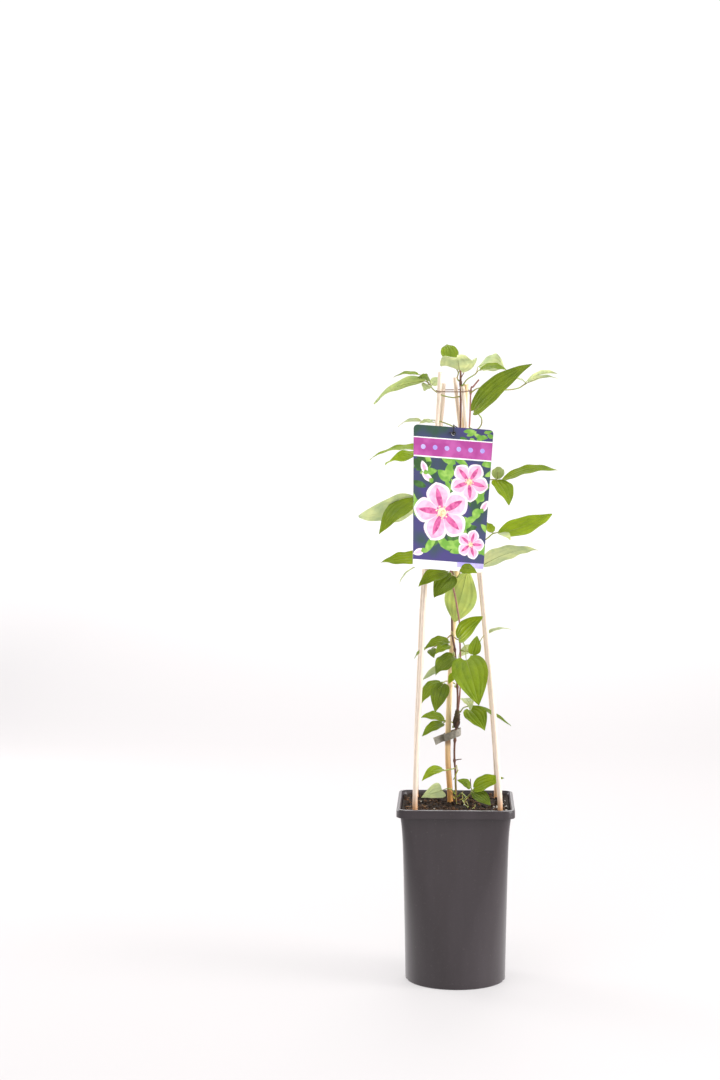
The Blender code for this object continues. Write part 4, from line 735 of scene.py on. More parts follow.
def damp_peat(name, deep, dry, crumb_mm):
    """Sphagnum peat, milled and damp: matt near-black brown that dries to fox brown on its high crumbs."""
    material, tree, place = new_material(name)
    lumps = cloudy(tree, place, 1000.0 / crumb_mm, 8.0, 0.7)
    between = tuple(a * 0.6 + b * 0.4 for a, b in zip(deep, dry))
    tone = ramp(tree, lumps, (0.36, deep), (0.7, dry), (0.5, between))
    crumb = add_node(tree, "TexVoronoi", {"Vector": place, "Scale": 1000.0 / (crumb_mm * 0.7)})
    high = maths(tree, "SUBTRACT", lumps, crumb.outputs["Distance"])
    return finished(material, principled(tree, tone, 0.93, {
        "Specular IOR Level": 0.25, "Normal": bumps(tree, high, 0.9, 0.0012)}))


def dull_finish(name, colour, roughness, tooth_mm):
    """A plain matt material with a fine tooth: grit, fibres, tape and wire coats."""
    material, tree, place = new_material(name)
    tooth = cloudy(tree, place, 1000.0 / tooth_mm, 4.0)
    tone = ramp(tree, tooth, (0.3, scaled(colour, 0.72)), (0.7, scaled(colour, 1.18)))
    bump = bumps(tree, tooth, 0.35, 0.0003)
    return finished(material, principled(tree, tone, roughness, {"Normal": bump}))


def split_bamboo(name, low, high, browned_to, band=None):
    """Bamboo, split and rounded: straw colour with long darker fibres and a soft waxy sheen. Wet peat has
    browned it up to a height in mm. A band is a height in mm where a joint has browned it."""
    material, tree, place = new_material(name)
    # Fibre bundles are about 0.5 mm wide and 60 mm long
    fibre = cloudy(tree, stretched(tree, place, (1700.0, 1700.0, 16.0)), 1.0, 5.0, 0.65)
    streak = ramp(tree, fibre, (0.32, grey(0.55)), (0.62, grey(1.0)))
    rise = upright(tree, place)
    body = blend(tree, remap(tree, rise, (0.208, browned_to * MM)), low, high)
    if band is not None:
        away = maths(tree, "DIVIDE", maths(tree, "SUBTRACT", rise, band * MM), 0.007)
        brown = remap(tree, maths(tree, "ABSOLUTE", away), (0.0, 1.0), (0.75, 0.0), "SMOOTHSTEP")
        body = blend(tree, brown, body, linear("#7a5233"))
    wood = blend(tree, 0.55, body, streak, "MULTIPLY")
    return finished(material, principled(tree, wood, 0.48, {
        "IOR": 1.5, "Coat Weight": 0.12, "Coat Roughness": 0.3, "Normal": bumps(tree, fibre, 0.3, 0.0002)}))


def fibrous_bark(name, old, young, change_from, change_to):
    """Clematis bark: thin brown strips that peel lengthwise on old wood, smooth purple-red higher up."""
    material, tree, place = new_material(name)
    strip = cloudy(tree, stretched(tree, place, (1500.0, 1500.0, 90.0)), 1.0, 6.0, 0.7)
    ridge = ramp(tree, strip, (0.35, grey(0.45)), (0.68, grey(1.25)))
    rise = remap(tree, upright(tree, place), (change_from * MM, change_to * MM))
    tone = blend(tree, 0.8, blend(tree, rise, old, young), ridge, "MULTIPLY")
    return finished(material, principled(tree, tone, 0.62, {"Normal": bumps(tree, strip, 0.6, 0.0004)}))


def living_leaf(name, colour, vein, shine, upper):
    """A living leaf blade: thin, so light glows through it; satin above with sunken pale veins, dull below
    with raised ones. The veins follow the blade's own map: u runs across it from edge to edge, v from its
    base to its tip."""
    material, tree, place = new_material(name)
    split = add_node(tree, "SeparateXYZ", {"Vector": place.node.outputs["UV"]})
    across = maths(tree, "ABSOLUTE", maths(tree, "MULTIPLY_ADD", split.outputs["X"], 2.0, -1.0))
    # The midrib and two arching veins on each side, about 0.4 mm wide on a 20 mm leaf
    main = ramp(tree, across, (0.0, grey(1.0)), (0.045, grey(0.0)), (0.385, grey(0.0)), (0.42, grey(0.8)),
                (0.455, grey(0.0)), (0.71, grey(0.0)), (0.74, grey(0.6)), (0.77, grey(0.0)))
    # Side veins leave the midrib every tenth of the blade and sweep towards the tip
    slant = maths(tree, "MULTIPLY_ADD", across, -0.42, split.outputs["Y"])
    saw = maths(tree, "PINGPONG", maths(tree, "MULTIPLY", slant, 10.0), 0.5)
    side = ramp(tree, saw, (0.0, grey(0.55)), (0.09, grey(0.0)))
    # The net of finest veins, drawn with 2.6 mm meshes so that it shows
    net = add_node(tree, "TexVoronoi", {"Vector": place, "Scale": 385.0}, feature="DISTANCE_TO_EDGE")
    mesh = ramp(tree, net.outputs["Distance"], (0.0, grey(0.3)), (0.14, grey(0.0)))
    veins = maths(tree, "MAXIMUM", maths(tree, "MAXIMUM", main, side), mesh)
    # Patches of darker and yellower green, 10 to 20 mm across
    cloud = cloudy(tree, place, 62.0, 5.0, 0.6)
    darker, lighter = scaled(colour, 0.76, 0.82, 0.75), scaled(colour, 1.22, 1.16, 1.0)
    tone = ramp(tree, cloud, (0.34, darker), (0.68, lighter))
    skin = blend(tree, maths(tree, "MULTIPLY", veins, 0.38 if upper else 0.48), tone, vein)
    height = maths(tree, "MULTIPLY_ADD", veins, -1.0 if upper else 1.0, 1.0)
    bump = bumps(tree, height, 0.32, 0.0005)
    face = principled(tree, skin, 0.4 if upper else 0.62, {
        "IOR": 1.42, "Specular IOR Level": 0.4 if upper else 0.25, "Normal": bump})
    through = add_node(tree, "BsdfTranslucent", {"Color": blend(tree, 0.3, skin, shine)})
    both = add_node(tree, "MixShader", {0: 0.5 if upper else 0.64, 1: face, 2: through.outputs[0]})
    return finished(material, both.outputs[0])


def leaf_stalk_skin(name, colour, flush):
    """A green leaf stalk: smooth and faintly waxy, flushed red where the sun reached it."""
    material, tree, place = new_material(name)
    tone = ramp(tree, cloudy(tree, place, 90.0, 3.0), (0.42, colour), (0.7, flush))
    return finished(material, principled(tree, tone, 0.42, {
        "IOR": 1.42, "Subsurface Weight": 0.15, "Subsurface Scale": 0.001}))


def printed_card(name, colour, second=None, patch_mm=14.0):
    """Polypropylene card, offset printed: flat clean colour under a semi-gloss film. A second colour blurs
    into the first in soft patches."""
    material, tree, place = new_material(name)
    cloud = cloudy(tree, place, 1000.0 / patch_mm, 2.0)
    tone = ramp(tree, cloud, (0.42, colour), (0.64, second or scaled(colour, 1.12)))
    film = cloudy(tree, place, 60.0, 1.0)
    return finished(material, principled(tree, tone, 0.3, {
        "IOR": 1.5, "Coat Weight": 0.25, "Coat Roughness": 0.12, "Normal": bumps(tree, film, 0.08, 0.001)}))


# Pot, peat, canes and stems

class CLEMATIS_OT_pot(bpy.types.Operator):
    """Makes the moulded pot: foot, raised floor, thin wall and a rim with a hanging skirt"""
    bl_idname = "clematis.make_pot"
    bl_label = "Pot"

    def execute(self, context):
        pot = context.scene.clematis_pot
        top, rim = pot.height / MM, pot.rim_width / MM / 2
        foot, wall = pot.foot_diameter / MM / 2, pot.wall / MM
        mouth, corner = pot_section(pot, top)
        rim_corner = corner + rim - mouth
        skirt = top - SKIRT_DROP
        climb = [2.0] + [skirt * k / 20 for k in range(1, 21)] + [skirt + 3.0, skirt + 6.0]
        # From the pad under the middle, out under the raised floor and down to the foot: height and radius
        inside = foot - FOOT_WALL
        footing = [(0.0, PAD_R), (FLOOR_UNDER, PAD_R + 1.5), (FLOOR_UNDER, inside), (0.3, inside + 0.4),
                   (0.0, inside + 0.7), (0.0, foot - 1.0), (0.5, foot - 0.3)]
        rings = [round_ring(z, radius) for z, radius in footing]
        rings += [level_ring(z, *pot_section(pot, z)) for z in climb]
        # The rim, down inside the skirt, up outside it and over the lip: height and half width
        under, hanging = top - SKIRT_WALL, rim - SKIRT_WALL
        profile = [(under - 0.6, mouth - 0.4), (under, mouth + 0.3), (under, hanging - 0.9),
                   (under - 0.5, hanging - 0.4), (skirt + 0.4, hanging - 0.2), (skirt, hanging + 0.1),
                   (skirt, rim - 0.3), (skirt + 0.3, rim), (top - 3.0, rim - 0.1), (top - 1.3, rim - 0.25),
                   (top - 0.6, rim - 0.5), (top - 0.15, rim - 0.9), (top, rim - 1.4), (top, rim - 3.6),
                   (top - 0.25, mouth + 0.4), (top - 0.5, mouth - wall + 0.9),
                   (top - 1.1, mouth - wall + 0.3)]
        rings += [level_ring(z, half, rim_corner + half - rim) for z, half in profile]
        rings += [level_ring(z, *pot_section(pot, z, wall)) for z in (top - 2.0, *reversed(climb[1:]))]
        rings += [level_ring(FLOOR_TOP, *pot_section(pot, FLOOR_TOP, wall)), round_ring(FLOOR_TOP, PAD_R)]
        shell = bmesh.new()
        loft(shell, rings)
        piece = add_piece("pot_moulding", shell, [moulded_polypropylene(pot)], ["pot"], 30)
        cutters = bmesh.new()
        for degrees in SLOT_ANGLES:
            spin = Matrix.Rotation(math.radians(degrees), 4, "Z")
            slot = spin @ Matrix.Translation((foot * MM, 0, 0)) @ Matrix.Diagonal(
                (SLOT_REACH * MM, SLOT_WIDTH * MM, 2 * SLOT_HEIGHT * MM, 1))
            bmesh.ops.create_cube(cutters, size=1.0, matrix=slot)
        for k in range(DRAIN_HOLES):
            spin = Matrix.Rotation((k + 0.5) * 2 * math.pi / DRAIN_HOLES, 4, "Z")
            hole = spin @ Matrix.Translation((DRAIN_CIRCLE_R * MM, 0, (FLOOR_UNDER + 1) * MM))
            bmesh.ops.create_cone(cutters, cap_ends=True, segments=24, radius1=DRAIN_HOLE_R * MM,
                                  radius2=DRAIN_HOLE_R * MM, depth=4 * MM, matrix=hole)
        cut_away(piece, cutters)
        return {"FINISHED"}


def chance_spot(rng, half):
    """A random place on the peat that is clear of the pot's round corners."""
    while True:
        x, y = rng.uniform(-half, half), rng.uniform(-half, half)
        if abs(x) + abs(y) < CLEAR_OF_CORNERS * half:
            return x, y


class CLEMATIS_OT_peat(bpy.types.Operator):
    """Makes the peat, with loose crumbs, fibres and grit on it"""
    bl_idname = "clematis.make_peat"
    bl_label = "Peat"

    def execute(self, context):
        pot, soil = context.scene.clematis_pot, context.scene.clematis_soil
        edge = soil.edge / MM
        wall = pot.wall / MM + PEAT_GAP
        low = FLOOR_TOP + PEAT_GAP
        shell = bmesh.new()
        rings = [round_ring(low, PAD_R)]
        rings += [level_ring(z, *pot_section(pot, z, wall)) for z in (low, *WALL_LEVELS)]
        rim = level_ring(edge, *pot_section(pot, edge - 2 * soil.rough / MM, wall))
        for k in range(PEAT_RINGS):
            share = 1 - k / (PEAT_RINGS + 0.5)
            ring = []
            for x, y, _ in rim:
                x, y = x * share, y * share
                fine = unevenness(x, y, 0.42, 1.7) + 0.6 * unevenness(x, y, 0.95, 5)
                ring.append((x, y, soil_height(soil, x, y) + PEAT_LUMPS * fine * min(k / 4, 1)))
            rings.append(ring)
        loft(shell, rings)
        dark, brown = tuple(soil.dark), tuple(soil.brown)
        add_piece("peat_bed", shell, [damp_peat("peat_milled_damp", dark, brown, 3.0)],
                  ["soil"], 80)
        rng = random.Random(71)
        half = pot_section(pot, edge, wall)[0] - LOOSE_MARGIN
        self.crumbs(soil, rng, half)
        self.fibres(soil, rng, half)
        self.grit(soil, rng, half)
        return {"FINISHED"}

    def crumbs(self, soil, rng, half):
        """Loose crumbs in three browns."""
        crumbs = bmesh.new()
        for k in range(soil.crumbs):
            x, y = chance_spot(rng, half)
            size = rng.choice(CRUMB_SIZES) * rng.uniform(0.8, 1.2)
            at = Vector((x, y, soil_height(soil, x, y) + size * 0.25))
            turn = rng.uniform(0, CHANCE_TURN)
            spin = Matrix.Rotation(turn, 4, Vector((rng.random(), rng.random(), rng.random() + 0.1)))
            shape = Matrix.Diagonal((size * rng.uniform(0.8, 1.6), size, size * rng.uniform(0.5, 0.9), 1))
            made = bmesh.ops.create_icosphere(crumbs, subdivisions=1, radius=1.0)
            shade = rng.choice((0, 0, 1, 1, 2))
            for v in made["verts"]:
                v.co *= 1 + 0.35 * noise.noise(v.co * 2.3 + Vector((k, 0, 0)))
                v.co = (at + spin @ (shape @ v.co)) * MM
                for face in v.link_faces:
                    face.material_index = shade
        dark, brown = tuple(soil.dark), tuple(soil.brown)
        add_piece("peat_crumbs", crumbs,
                  [damp_peat("peat_crumb_damp", dark, brown, 1.6),
                   damp_peat("peat_crumb_dry", brown, linear("#5c4536"), 1.6),
                   damp_peat("peat_crumb_bark", linear("#2b1b13"), linear("#8a6243"), 1.2)], (), 60)

    def fibres(self, soil, rng, half):
        """Bent root and bark fibres that lie on the crumbs."""
        fibres = bmesh.new()
        for k in range(soil.fibres):
            x, y = chance_spot(rng, half)
            heading, bend = rng.uniform(0, CHANCE_TURN), rng.uniform(-0.9, 0.9)
            length = rng.uniform(4.0, 13.0)
            line = []
            for _ in FIBRE_RADII:
                line.append(Vector((x, y, soil_height(soil, x, y) + 0.7 + rng.uniform(0, 0.7))))
                x += math.cos(heading) * length / len(FIBRE_RADII)
                y += math.sin(heading) * length / len(FIBRE_RADII)
                heading += bend * 0.5
            if max(abs(p.x) for p in line) < half and max(abs(p.y) for p in line) < half:
                sweep(fibres, line, FIBRE_RADII, 5, k % 2)
        add_piece("peat_fibres", fibres,
                  [dull_finish("peat_fibre_pale", linear("#9a7450"), 0.8, 0.8),
                   dull_finish("peat_fibre_brown", linear("#5f4129"), 0.85, 0.8)], (), 60)

    def grit(self, soil, rng, half):
        """White grains."""
        grit = bmesh.new()
        for k in range(soil.grains):
            x, y = chance_spot(rng, half)
            if k % 4:
                # Most of them lie towards the pot's front right corner
                x, y = half * rng.uniform(0.72, 0.99), half * rng.uniform(-0.72, 0.05)
            size = rng.uniform(0.4, 1.2)
            at = Vector((x, y, soil_height(soil, x, y) + 1.2))
            made = bmesh.ops.create_icosphere(grit, subdivisions=2, radius=size)
            for v in made["verts"]:
                v.co *= 1 + 0.4 * noise.noise(v.co * 1.9 + Vector((0, k, 0)))
                v.co = (at + v.co) * MM
        add_piece("grit_grains", grit, [dull_finish("perlite_expanded_white", linear("#c9c4bd"), 0.9, 0.5)],
                  (), 60)


class CLEMATIS_OT_canes(bpy.types.Operator):
    """Makes the five canes and the wire hoop round their heads"""
    bl_idname = "clematis.make_canes"
    bl_label = "Canes and hoop"

    def execute(self, context):
        canes = context.scene.clematis_canes
        corner = split_bamboo("bamboo_split_pale", tuple(canes.warm), tuple(canes.pale), 230)
        middle = split_bamboo("bamboo_round_orange", tuple(canes.middle_foot), tuple(canes.middle), 300,
                              MIDDLE_JOINT)
        for number, (name, (points, foot_r, head_r)) in enumerate(CANES.items()):
            path = smooth_path(points, 12)
            last = len(path) - 1
            radii = []
            for k, at in enumerate(path):
                r = foot_r + (head_r - foot_r) * k / last
                r *= 1 + 0.02 * noise.noise(Vector((number * 7.3, at.z * 0.02, 0)))
                if name == "cane_middle":
                    r += 0.22 * math.exp(-((at.z - MIDDLE_JOINT) / 3.0) ** 2)
                radii.append(r)
            # A saw-cut head with its edge worn round
            lead = (path[-1] - path[-2]).normalized()
            head = path[-1]
            path[-1] = head - lead * 0.5
            path += [head - lead * 0.12, head]
            radii += [radii[-1] * 0.97, radii[-1] * 0.82]
            shell = bmesh.new()
            sweep(shell, path, radii, 24)
            wood = middle if name == "cane_middle" else corner
            add_piece(name + "_bamboo", shell, [wood], [name], 50)

        centres = []
        wire = canes.wire_radius / MM
        for points, foot_r, head_r in CANES.values():
            reach = (HOOP_HEIGHT - points[0][2]) / (points[-1][2] - points[0][2])
            cane_r = foot_r + (head_r - foot_r) * reach
            centres.append((point_at_height(points, HOOP_HEIGHT), cane_r + HOOP_PLAY + wire))
        line = []
        for k in range(HOOP_STEPS):
            angle = 2 * math.pi * k / HOOP_STEPS
            out = Vector((math.cos(angle), math.sin(angle), 0))
            centre, reach = max(centres, key=lambda c: c[0].dot(out) + c[1])
            # It rises towards the back and is not quite flat
            line.append(centre + out * reach + Vector((0, 0, 1.3 * out.y + 0.25 * math.sin(2 * angle))))
        shell = bmesh.new()
        sweep(shell, line, [wire] * HOOP_STEPS, 10, closed=True)
        coated = dull_finish("steel_wire_brown_coated", tuple(canes.wire), 0.45, 1.5)
        add_piece("hoop_wire_ring", shell, [coated], ["hoop"], 60)
        return {"FINISHED"}


class CLEMATIS_OT_stems(bpy.types.Operator):
    """Makes the woody stems, their joints and buds, and the shaggy old crown"""
    bl_idname = "clematis.make_stems"
    bl_label = "Stems"

    def execute(self, context):
        stems = context.scene.clematis_stems
        old, new, crown, mossed = (tuple(c) for c in (stems.bark, stems.young, stems.crown, stems.mossed))
        bark = fibrous_bark("clematis_bark_peeling", old, old, 200, 700)
        young = fibrous_bark("clematis_bark_young", old, new, 305, 345)
        shaggy = fibrous_bark("clematis_bark_shaggy_crown", crown, mossed, 300, 319)
        shell = bmesh.new()
        rng = random.Random(12)
        for slot, points, radius, nodes in ((0, STEM_MAIN, stems.main_radius / MM, MAIN_NODES),
                                            (1, STEM_SECOND, stems.second_radius / MM, SECOND_NODES)):
            path = smooth_path(points, 16)
            radii = []
            for at in path:
                swell = max(math.exp(-((at.z - z) / NODE_SPREAD) ** 2) for z in nodes)
                rough = 0.09 * noise.noise(Vector((at.z * 0.18, slot * 5.0, 2.0)))
                burr = BURR[1] * math.exp(-((at.z - BURR[0]) / BURR[2]) ** 2)
                radii.append(radius * (1 + rough) + (NODE_R - radius) * swell + burr)
            sweep(shell, path, radii, 14, slot)
            for z in nodes:
                at = point_at_height(points, z + 1.0)
                for turn in BUD_TURNS:
                    out = Vector((math.cos(turn + z), math.sin(turn + z), 0.9)).normalized()
                    bud = [at + out * reach for reach, _ in BUD_RINGS]
                    sweep(shell, bud, [r for _, r in BUD_RINGS], 8, slot)
        crown = smooth_path(CROWN, 10)
        last = len(crown) - 1
        swell = []
        for k in range(last + 1):
            belly = math.sin(math.pi * (0.12 + 0.8 * k / last)) ** 0.7
            swell.append(CROWN_END_R + (CROWN_R - CROWN_END_R) * belly * (1 + 0.16 * math.sin(k * 1.9)))
        sweep(shell, crown, swell, 16, 2)
        for k in range(BARK_STRIPS):
            turn, start = rng.uniform(0, CHANCE_TURN), rng.uniform(0, 0.35)
            strand = []
            for step in range(len(STRIP_RADII)):
                share = min(start + step * 0.09, 1.0)
                at = crown[int(share * last)]
                r = swell[int(share * last)] + 0.12 + rng.uniform(-0.1, 0.2)
                strand.append(at + Vector((math.cos(turn), math.sin(turn), 0)) * r)
                turn += rng.uniform(-0.12, 0.3)
            # Every fourth strip is of the paler bark
            sweep(shell, strand, STRIP_RADII, 6, 2 if k % 4 else 0)
        for foot, end in STUBS:
            line = smooth_path([foot, Vector(foot).lerp(Vector(end), 0.5) + Vector((0, 0, 0.4)), end], 5)
            sweep(shell, line, [STUB_FOOT_R - STUB_TAPER * k for k in range(len(line))], 8)
        add_piece("stems_barked", shell, [bark, young, shaggy], ["vine_stems"], 60)
        return {"FINISHED"}


# Leaves

def blade_frame(leaf):
    """The leaf's own axes: where it starts, its length, its direction, its upper side and its right."""
    base, tip = Vector(leaf.base), Vector(leaf.tip)
    along = tip - base
    length = along.length
    along.normalize()
    up = Vector(leaf.face)
    up = (up - along * up.dot(along)).normalized()
    return base, length, along, up, along.cross(up)


def half_width(leaf, s):
    """Half the leaf's width at a share of its length: egg-shaped, drawn out to a point."""
    a = leaf.shape
    peak = (a / (1 + a)) ** a / (1 + a)
    return max(leaf.width / 2 * (s ** a * (1 - s)) / peak, 0.16)


def blade_point(leaf, s, c, lift=0.0):
    """A point of the blade in mm: s along it from 0 to 1, c across it from -1 to 1, lifted off it by mm."""
    base, length, along, up, side = blade_frame(leaf)
    half = half_width(leaf, s)
    arch = leaf.bow * length * 4 * s * (1 - s) - 0.05 * length * s ** 3
    cup = leaf.fold * half * abs(c) ** 1.4
    ripple = leaf.wave * leaf.width * c * c * math.sin(2 * math.pi * (1.6 * s + 0.25 * c))
    notch = leaf.lobe * length * c * c * math.exp(-(s / 0.2) ** 2)
    return base + along * (s * length - notch) + side * (c * half) + up * (arch + cup + ripple + lift)


def add_blade(shell, uv, leaf, rng, foliage, upper_slot, under_slot):
    """Adds one thin blade with sunken main veins, domed skin between them and a lightly ruffled edge."""
    rows = [0.004 + 0.992 * (k / BLADE_ROWS - 0.05 * math.sin(2 * math.pi * k / BLADE_ROWS))
            for k in range(BLADE_ROWS + 1)]
    columns = [-c for c in reversed(BLADE_COLUMNS[1:])] + list(BLADE_COLUMNS)
    size = min(leaf.width / TYPICAL_WIDTH, 1.2)
    flutter = rng.uniform(0.35, 0.8) * size
    beats, phase = rng.uniform(2.2, 3.4), rng.uniform(0, CHANCE_TURN)
    lean = rng.uniform(-0.4, 0.4)
    depth, thick = foliage.relief / MM * size, foliage.blade / MM

    def relief(s, c):
        """How far the skin stands off the plain blade at a place, in mm."""
        near = min(abs(abs(c) - v) for v in MAIN_VEINS)
        fade = min(s / 0.12, (1 - s) / 0.25, 1.0)
        sunk = -depth * math.exp(-(near / 0.05) ** 2) * fade
        domed = 0.55 * depth * math.sin(math.pi / 2 * min(near / 0.17, 1.0)) * fade
        edge = flutter * c * c * math.sin(2 * math.pi * beats * s + phase + lean * c) * min(s / 0.2, 1.0)
        return sunk + domed + edge

    sheets = []
    for sign in (1, -1):
        sheet = []
        for s in rows:
            line = []
            for c in columns:
                body = thick / 2 * (1 - 0.6 * abs(c) ** 3)
                line.append(shell.verts.new(blade_point(leaf, s, c, sign * body + relief(s, c)) * MM))
            sheet.append(line)
        sheets.append(sheet)
    upper, lower = sheets
    last_row, last_column = len(rows) - 1, len(columns) - 1

    def skin(corners, places, slot):
        """One face with its place on the blade's map."""
        face = shell.faces.new(corners)
        face.material_index = slot
        for loop, (i, j) in zip(face.loops, places):
            loop[uv].uv = ((columns[j] + 1) / 2, rows[i])

    for sheet, slot in ((upper, upper_slot), (lower, under_slot)):
        for i in range(last_row):
            for j in range(last_column):
                places = ((i, j), (i, j + 1), (i + 1, j + 1), (i + 1, j))
                skin([sheet[a][b] for a, b in places], places, slot)
    rim = [(i, 0) for i in range(last_row)] + [(last_row, j) for j in range(last_column)]
    rim += [(i, last_column) for i in range(last_row, 0, -1)] + [(0, j) for j in range(last_column, 0, -1)]
    for (i, j), (k, m) in zip(rim, rim[1:] + rim[:1]):
        places = ((i, j), (k, m), (k, m), (i, j))
        skin((upper[i][j], upper[k][m], lower[k][m], lower[i][j]), places, under_slot)


def leaf_stalk_path(fork, before_fork, leaf):
    """A leaf's own stalk: on from the fork, round into the leaf's direction, and into its base."""
    base, _, along = blade_frame(leaf)[:3]
    reach = (base - fork).length
    lead = (fork - before_fork).normalized()
    midrib = blade_point(leaf, 0.11, 0, -0.15)
    if reach < 2.0:
        return [fork - lead * 0.6, (fork + midrib) / 2, midrib]
    first, second = fork + lead * reach * 0.3, base - along * reach * 0.3
    bend = [fork * (1 - t) ** 3 + first * 3 * t * (1 - t) ** 2 + second * 3 * t * t * (1 - t) + base * t ** 3
            for t in [k / STALK_STEPS for k in range(1, STALK_STEPS)]]
    return [fork - lead * 0.6, *bend, blade_point(leaf, 0.03, 0, -0.2), midrib]


def root_on_bark(stalk, bark):
    """The stalk's path: it starts in the bark, square off it, and is smooth from there."""
    near, normal = bark.find_nearest(Vector(stalk[0]) * MM)[:2]
    out = (Vector(stalk[1]) * MM - near).normalized()
    hit, hit_normal = bark.ray_cast(Vector(stalk[1]) * MM, -out)[:2]
    if hit is not None:
        near, normal = hit, hit_normal
    foot, knee = near / MM - normal * 0.25, near / MM + normal * 1.8
    return [foot, *smooth_path([knee, *stalk[1:]], 8)]


class CLEMATIS_OT_leaves(bpy.types.Operator):
    """Makes every spray: its stalk, the leaves' own stalks, and blades with modelled veins"""
    bl_idname = "clematis.make_leaves"
    bl_label = "Leaves"

    def execute(self, context):
        foliage = context.scene.clematis_foliage
        vein, shine, pale_shine = tuple(foliage.vein), tuple(foliage.shine), tuple(foliage.pale_shine)
        skins = []
        for key, shade in SHADE_NAMES.items():
            skins.append(living_leaf("leaf_upper_" + shade, tuple(getattr(foliage, shade)), vein,
                                     pale_shine if key == "p" else shine, True))
        for name, colour, below_vein in (("leaf_underside", foliage.under, "#dbe2bd"),
                                         ("leaf_underside_green", foliage.under_green, "#ccd88c")):
            skins.append(living_leaf(name, tuple(colour), linear(below_vein), pale_shine, False))
        skins.append(leaf_stalk_skin("leaf_stalk_green", tuple(foliage.stalk), linear("#a08a58")))
        order = list(SHADE_NAMES)
        underside, green = len(order), len(skins) - 1
        stems = bmesh.new()
        stems.from_mesh(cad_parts["vine_stems"].data)
        bark = BVHTree.FromBMesh(stems)
        stems.free()
        thick = foliage.stalk_radius / MM
        for name, spray in SPRAYS.items():
            shell = bmesh.new()
            uv = shell.loops.layers.uv.new("blade")
            rng = random.Random(name)
            under = underside + (name in GREEN_BELOW)
            stalk = root_on_bark(spray.stalk, bark)
            last = len(stalk) - 1
            sweep(shell, stalk, [thick * (1.25 - 0.3 * min(k / 6, 1)) for k in range(last + 1)], 10, green)
            for leaf, shade in zip(spray.leaves, SHADES[name]):
                path = leaf_stalk_path(stalk[-1], stalk[-3], leaf)
                end = len(path) - 1
                sweep(shell, path, [thick * (0.95 - 0.45 * k / end) for k in range(end + 1)], 10, green)
                # The midrib's ridge under the blade
                sunk = -0.3 * min(1.0, leaf.width / TYPICAL_WIDTH) - 0.15
                steps = range(RIDGE_STEPS + 1)
                ridge = [blade_point(leaf, 0.03 + 0.74 * k / RIDGE_STEPS, 0, sunk) for k in steps]
                sweep(shell, ridge, [thick * (0.5 - 0.036 * k) for k in steps], 6, green)
                add_blade(shell, uv, leaf, rng, foliage, order.index(shade), under)
            add_piece(name + "_foliage", shell, skins, [name], 60)

        # Yellow-green twining leaf stalks, curled on the peat or standing by the stem, and a withered one
        soil = context.scene.clematis_soil
        shell = bmesh.new()
        for state, points in CURLS:
            line = smooth_path([(x, y, soil_height(soil, x, y) + z) for x, y, z in points], 8)
            last = len(line) - 1
            radii = [thick * (0.75 - 0.4 * k / last) for k in range(last + 1)]
            sweep(shell, line, radii, 8, state == "withered")
        yellowing = leaf_stalk_skin("leaf_stalk_yellowing", linear("#b5b84f"), linear("#96913f"))
        withered = leaf_stalk_skin("leaf_stalk_withered", linear("#94827a"), linear("#6b5a52"))
        add_piece("stalks_curled_on_peat", shell, [yellowing, withered], (), 60)
        return {"FINISHED"}


# Tape, label and its tie

class CLEMATIS_OT_tape(bpy.types.Operator):
    """Makes the grey-green tying tape: a loop round the middle cane and the stem, and its doubled tail"""
    bl_idname = "clematis.make_tape"
    bl_label = "Tying tape"

    def execute(self, context):
        ties = context.scene.clematis_ties
        width, thick = ties.width / MM, ties.thickness / MM
        centre = Vector(TAPE_CENTRE)
        slope = math.tan(TAPE_TILT)
        shell = bmesh.new()
        rings = []
        for k in range(TAPE_STEPS):
            angle = 2 * math.pi * k / TAPE_STEPS
            crease = 0.12 * math.sin(5 * angle) + 0.08 * math.sin(11 * angle + 1)
            ring = []
            for across, depth in TAPE_SECTION:
                x = (TAPE_LOOP[0] + depth * thick + crease) * math.cos(angle)
                y = (TAPE_LOOP[1] + depth * thick + crease) * math.sin(angle)
                rise = across * width / math.cos(TAPE_TILT) + x * slope + 0.15 * math.sin(3 * angle)
                ring.append(shell.verts.new((centre + Vector((x, y, rise))) * MM))
            rings.append(ring)
        for a, b in zip(rings, rings[1:] + rings[:1]):
            for k in range(len(TAPE_SECTION)):
                m = (k + 1) % len(TAPE_SECTION)
                shell.faces.new((a[k], a[m], b[m], b[k]))
        # The tail: two layers that run back and down from the loop's left end, cut square
        start = -TAPE_LOOP[0] - thick + 0.3
        for layer in (-1, 1):
            loops = []
            for k in range(TAIL_STEPS + 1):
                x = start - (TAPE_TAIL - TAIL_TRIM) * k / TAIL_STEPS
                sweep_back = -(start - x) * 0.55 + layer * (0.3 + 0.12 * math.sin(k * 0.9 + layer))
                half = width * 0.49
                edges = [(-half, -0.2), (-half, 0.2), (0.0, 0.26), (half, 0.2), (half, -0.2), (0.0, -0.26)]
                loop = []
                for up, off in edges:
                    rise = up / math.cos(TAPE_TILT) + x * slope + 0.3 * math.sin(k * 0.35) * layer * 0.3
                    square = x - up * slope * k / TAIL_STEPS
                    loop.append(shell.verts.new((centre + Vector((square, sweep_back + off, rise))) * MM))
                loops.append(loop)
            for a, b in zip(loops, loops[1:]):
                for k in range(len(edges)):
                    m = (k + 1) % len(edges)
                    shell.faces.new((a[k], a[m], b[m], b[k]))
            shell.faces.new(loops[0])
            shell.faces.new(loops[-1])
        add_piece("tape_tied", shell, [dull_finish("pvc_tape_grey_green", tuple(ties.tape), 0.5, 3.0)],
                  ["tying_tape"], 45)
        return {"FINISHED"}


